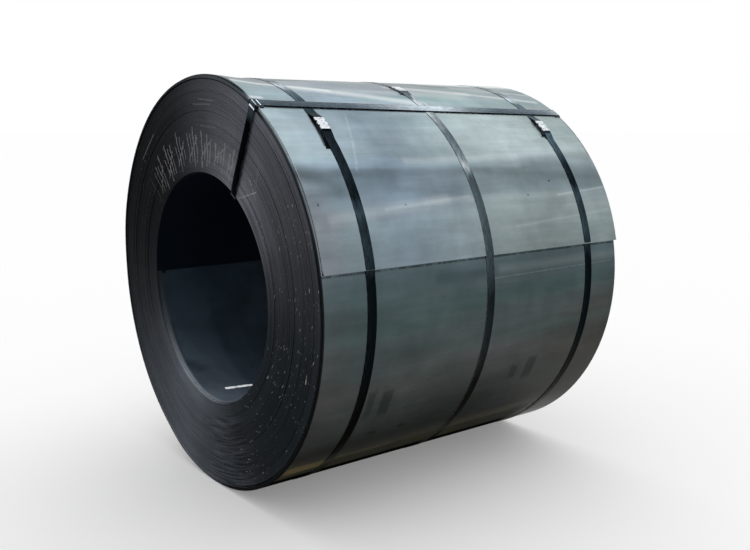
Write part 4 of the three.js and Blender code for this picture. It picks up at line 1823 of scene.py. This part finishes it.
@dataclass
class EyeBand:
    """A strap along the outside, down both ends and through the bore, with its seal and guards."""

    angle: float = 29.9
    skew_along: float = 3.3
    skew_inward: float = 2.8
    near_slack: float = 0.0045
    top_bend: float = 0.004
    bore_bend: float = 0.0018
    bore_facet: float = 5.0
    seal_radius: float = 0.528
    longest_step: float = 0.02
    guard_width: float = 0.044
    guard_thickness: float = 0.002
    guard_top_leg: float = 0.024
    guard_face_leg: float = 0.016
    guard_bend: float = 0.0015
    guard_rounding: float = 0.0004
    finish: StrapLacquer = StrapLacquer("eye_lacquer", (0.74, 1.0, 1.2), along=EYE_TONES, fade=0.55)
    seal: Seal = field(default_factory=Seal)

    def angle_at(self, point: Vector) -> float:
        """The band's angle at a place along the axis and a radius."""
        along = (point.x - WINDING.near_end) / WINDING.strip_width
        inward = (WINDING.outer_radius - point.y) / (WINDING.outer_radius - WINDING.bore_radius)
        return self.angle + self.skew_along * along + self.skew_inward * inward

    def station(self, point: Vector, left: Vector) -> Station:
        """Carries a point of the route, and the way to its left, into space."""
        degrees = self.angle_at(point)
        outward = ALONG * left.x + AXIS.outward(degrees) * left.y
        return Station(AXIS.point(point.x, point.y, degrees), outward, AXIS.onward(degrees))

    @property
    def far_edge(self) -> float:
        """Where the outermost lap ends at the far side."""
        return WINDING.far_end + WINDING.slide_outside(self.angle + self.skew_along)

    def corners(self) -> dict[str, Vector]:
        """The four corners of the band's underside, as along and radius."""
        over_guard = STRAP.clearance + self.guard_thickness + STRAP.clearance
        top = WINDING.outer_radius + over_guard
        flat = WINDING.bore_radius * math.cos(math.radians(self.bore_facet / 2)) - STRAP.clearance
        bottom = math.sqrt(flat**2 - (STRAP.width / 2) ** 2)
        return {
            "near_top": Vector((WINDING.near_end - over_guard, top)),
            "far_top": Vector((self.far_edge + over_guard, top)),
            "far_bottom": Vector((WINDING.far_end + WINDING.inner_lap_slide + STRAP.clearance, bottom)),
            "near_bottom": Vector((WINDING.near_end - STRAP.clearance, bottom)),
        }

    def on_far_run(self, radius: float, layer: float) -> Vector:
        """A point of the run down the far end.

        Args:
            radius: The point's distance from the axis.
            layer: 0 for the lower layer and 1 for the upper one.

        Returns:
            The point, as along and radius.
        """
        at = self.corners()
        share = (radius - at["far_bottom"].y) / (at["far_top"].y - at["far_bottom"].y)
        along = lerp(at["far_bottom"].x, at["far_top"].x, share)
        return Vector((along + layer * STRAP.layer, radius))

    def route(self) -> list[tuple[Vector, Vector]]:
        """The band's route in the plane of along and radius."""
        at = self.corners()
        reach = self.seal.length / 2 + STRAP.end_reach
        start = self.on_far_run(self.seal_radius + reach, 0)
        step_end = self.on_far_run(self.seal_radius + reach + 2 * STRAP.clearance, 1)
        step_start = self.on_far_run(step_end.y + STRAP.step, 0)
        end = self.on_far_run(self.seal_radius - reach, 1)
        below = [start, at["far_bottom"], at["near_bottom"], at["near_top"]]
        above = [at["near_bottom"], at["near_top"], at["far_top"], step_start]
        low = rounded_route(below, self.bore_bend, 5)
        high = rounded_route(above, self.top_bend, 6)
        down = [(point, Vector((1.0, 0.0))) for point in (step_start, step_end, end)]
        return low[:-1] + high[1:-1] + down

    def stations(self) -> list[Station]:
        """The band's cross-sections, long straight stretches divided."""
        made = []
        route = self.route()
        for (point, left), (after, _) in zip(route, route[1:]):
            count = max(1, math.ceil((after - point).length / self.longest_step))
            ahead = (after - point).normalized()
            for i in range(count):
                share = i / count
                way = left if i == 0 else Vector((-ahead.y, ahead.x))
                slack = self.near_slack * math.sin(math.pi * share**0.6) if way.x < -0.9 else 0.0
                made.append(self.station(point.lerp(after, share) + way * slack, way))
        made.append(self.station(*route[-1]))
        return made

    def guard(self, name: str, edge: float, outward: float) -> None:
        """Makes one edge guard.

        Args:
            name: Name of the guard.
            edge: Place of the coil's edge along the axis.
            outward: -1 at the near end and 1 at the far end.
        """
        corner = Vector((edge + outward * STRAP.clearance, WINDING.outer_radius + STRAP.clearance))
        face_end = Vector((corner.x, corner.y - self.guard_face_leg))
        top_end = Vector((corner.x - outward * self.guard_top_leg, corner.y))
        ends = [face_end, corner, top_end] if outward < 0 else [top_end, corner, face_end]
        route = rounded_route(ends, self.guard_bend, 5)
        bar = FlatBar(self.guard_width, self.guard_thickness, self.guard_rounding, lanes=2)
        bm = bar.lay([self.station(point, left) for point, left in route])
        piece(bm, name, [GuardSteel().material()] * 3, [name])

    def build(self) -> None:
        """Makes the band, its seal and its two guards."""
        edge = StrapEdge().material()
        bm = STRAP.lay(self.stations())
        piece(bm, "eye_band", [self.finish.material(), edge, edge], ["eye_band"])
        under = self.on_far_run(self.seal_radius, 0)
        degrees = self.angle_at(under)
        origin = AXIS.point(under.x, under.y, degrees)
        place = carried_to(AXIS.onward(degrees), AXIS.outward(degrees), ALONG, origin)
        self.seal.build("seal_eye", place)
        self.guard("guard_near", WINDING.near_end, -1.0)
        self.guard("guard_far", self.far_edge, 1.0)


# ---------------------------------------------------------------- studio


@dataclass(frozen=True)
class StudioFloor(Finish):
    """Plain pale floor."""

    name = "studio_floor"
    grey: float = 0.8
    glow: float = 0.2

    def write(self, sheet: NodeSheet) -> dict[str, Value]:
        """Writes the nodes, as Finish.write says."""
        return {
            "Base Color": (self.grey,) * 3,
            "Roughness": 1.0,
            "Specular IOR Level": 0.0,
            "Emission Color": WHITE,
            "Emission Strength": sheet.seen() * self.glow,
        }


@dataclass(frozen=True)
class Studio:
    """Floor, soft light and camera."""

    camera_place: tuple[float, float, float] = (-1.9491, -2.6156, 1.1988)
    azimuth: float = -37.696
    elevation: float = 9.589
    lens: float = 42.826
    sensor: float = 36.0
    sight: float = 500.0
    floor_side: float = 240.0
    light_from: tuple[float, float, float] = (0.5, 0.35, 0.79)
    light_strength: float = 1.14
    light_spread: float = 100.0
    ambient: float = 0.7

    def floor(self) -> None:
        """Lays the floor."""
        bm = bmesh.new()
        bmesh.ops.create_grid(bm, x_segments=4, y_segments=4, size=self.floor_side / 2)
        floor = linked(bm, "studio_floor", [StudioFloor().material()])

    def light(self) -> None:
        """Sets one broad soft light and the world."""
        lamp = bpy.data.lights.new("broad_light", "SUN")
        lamp.energy = self.light_strength
        lamp.angle = math.radians(self.light_spread)
        way = Vector(self.light_from)
        self._stand("broad_light", lamp, way * 4.0, way.to_track_quat("Z", "Y"))
        world = bpy.data.worlds.new("studio")
        world.use_nodes = True
        bpy.context.scene.world = world
        sheet = NodeSheet(world.node_tree)
        shares = {MIX_SHARE: sheet.seen(), MIX_FIRST: self.ambient, MIX_SECOND: 1.0}
        strength = sheet.wire("ShaderNodeMix", shares)
        white = sheet.wire("ShaderNodeBackground", {0: WHITE, 1: strength})
        sheet.node("ShaderNodeOutputWorld", {"Surface": white})

    def camera(self) -> None:
        """Sets the camera."""
        a, e = math.radians(self.azimuth), math.radians(self.elevation)
        ahead = -Vector((math.sin(a) * math.cos(e), -math.cos(a) * math.cos(e), math.sin(e)))
        data = bpy.data.cameras.new("camera")
        data.lens = self.lens
        data.sensor_width = self.sensor
        data.clip_end = self.sight
        turned = ahead.to_track_quat("-Z", "Y")
        bpy.context.scene.camera = self._stand("camera", data, self.camera_place, turned)

    def _stand(
        self, name: str, data: bpy.types.ID, place: Sequence[float], turned: Quaternion
    ) -> bpy.types.Object:
        """Stands a lamp or a camera in the scene.

        Args:
            name: Its name.
            data: The lamp or the camera.
            place: Where it stands.
            turned: How it is turned.

        Returns:
            The new object.
        """
        holder = bpy.data.objects.new(name, data)
        holder.location = place
        holder.rotation_mode = "QUATERNION"
        holder.rotation_quaternion = turned
        bpy.context.scene.collection.objects.link(holder)
        return holder

    def build(self) -> None:
        """Sets up the whole studio."""
        bpy.context.scene.view_settings.view_transform = "Standard"
        self.floor()
        self.light()
        self.camera()


def main() -> None:
    """Builds the coil piece by piece."""
    logging.basicConfig(level=logging.INFO, format="%(name)s %(message)s")
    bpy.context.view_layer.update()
    Studio().build()
    WoundStrip().build()
    middle = StrapLacquer("middle_lacquer", (0.72, 1.0, 1.14), MIDDLE_TONES, taper=(20.5, 28.3), shaded=0.8)
    right = StrapLacquer("right_lacquer", lit_tones=RIGHT_TONES, caked_below=170.0)
    # Pale edges of the middle band: painted light.
    pale_edge = StrapEdge("pale_edge", (0.3, 0.34, 0.36), (0.4, 0.44, 0.46))
    dull_seal = Seal(Zinc("dull_zinc", 0.95, darkened_from=19.1))
    BellyBand("left", -0.456, 39.2, 0.07, tail_skew=0.0145).build()
    BellyBand("middle", 0.012, 18.5, 0.014, middle, pale_edge, dull_seal, seal_lift=0.0014).build()
    BellyBand("right", 0.48, 40.4, 0.018, right).build()
    EyeBand().build()


if __name__ == "__main__":
    main()
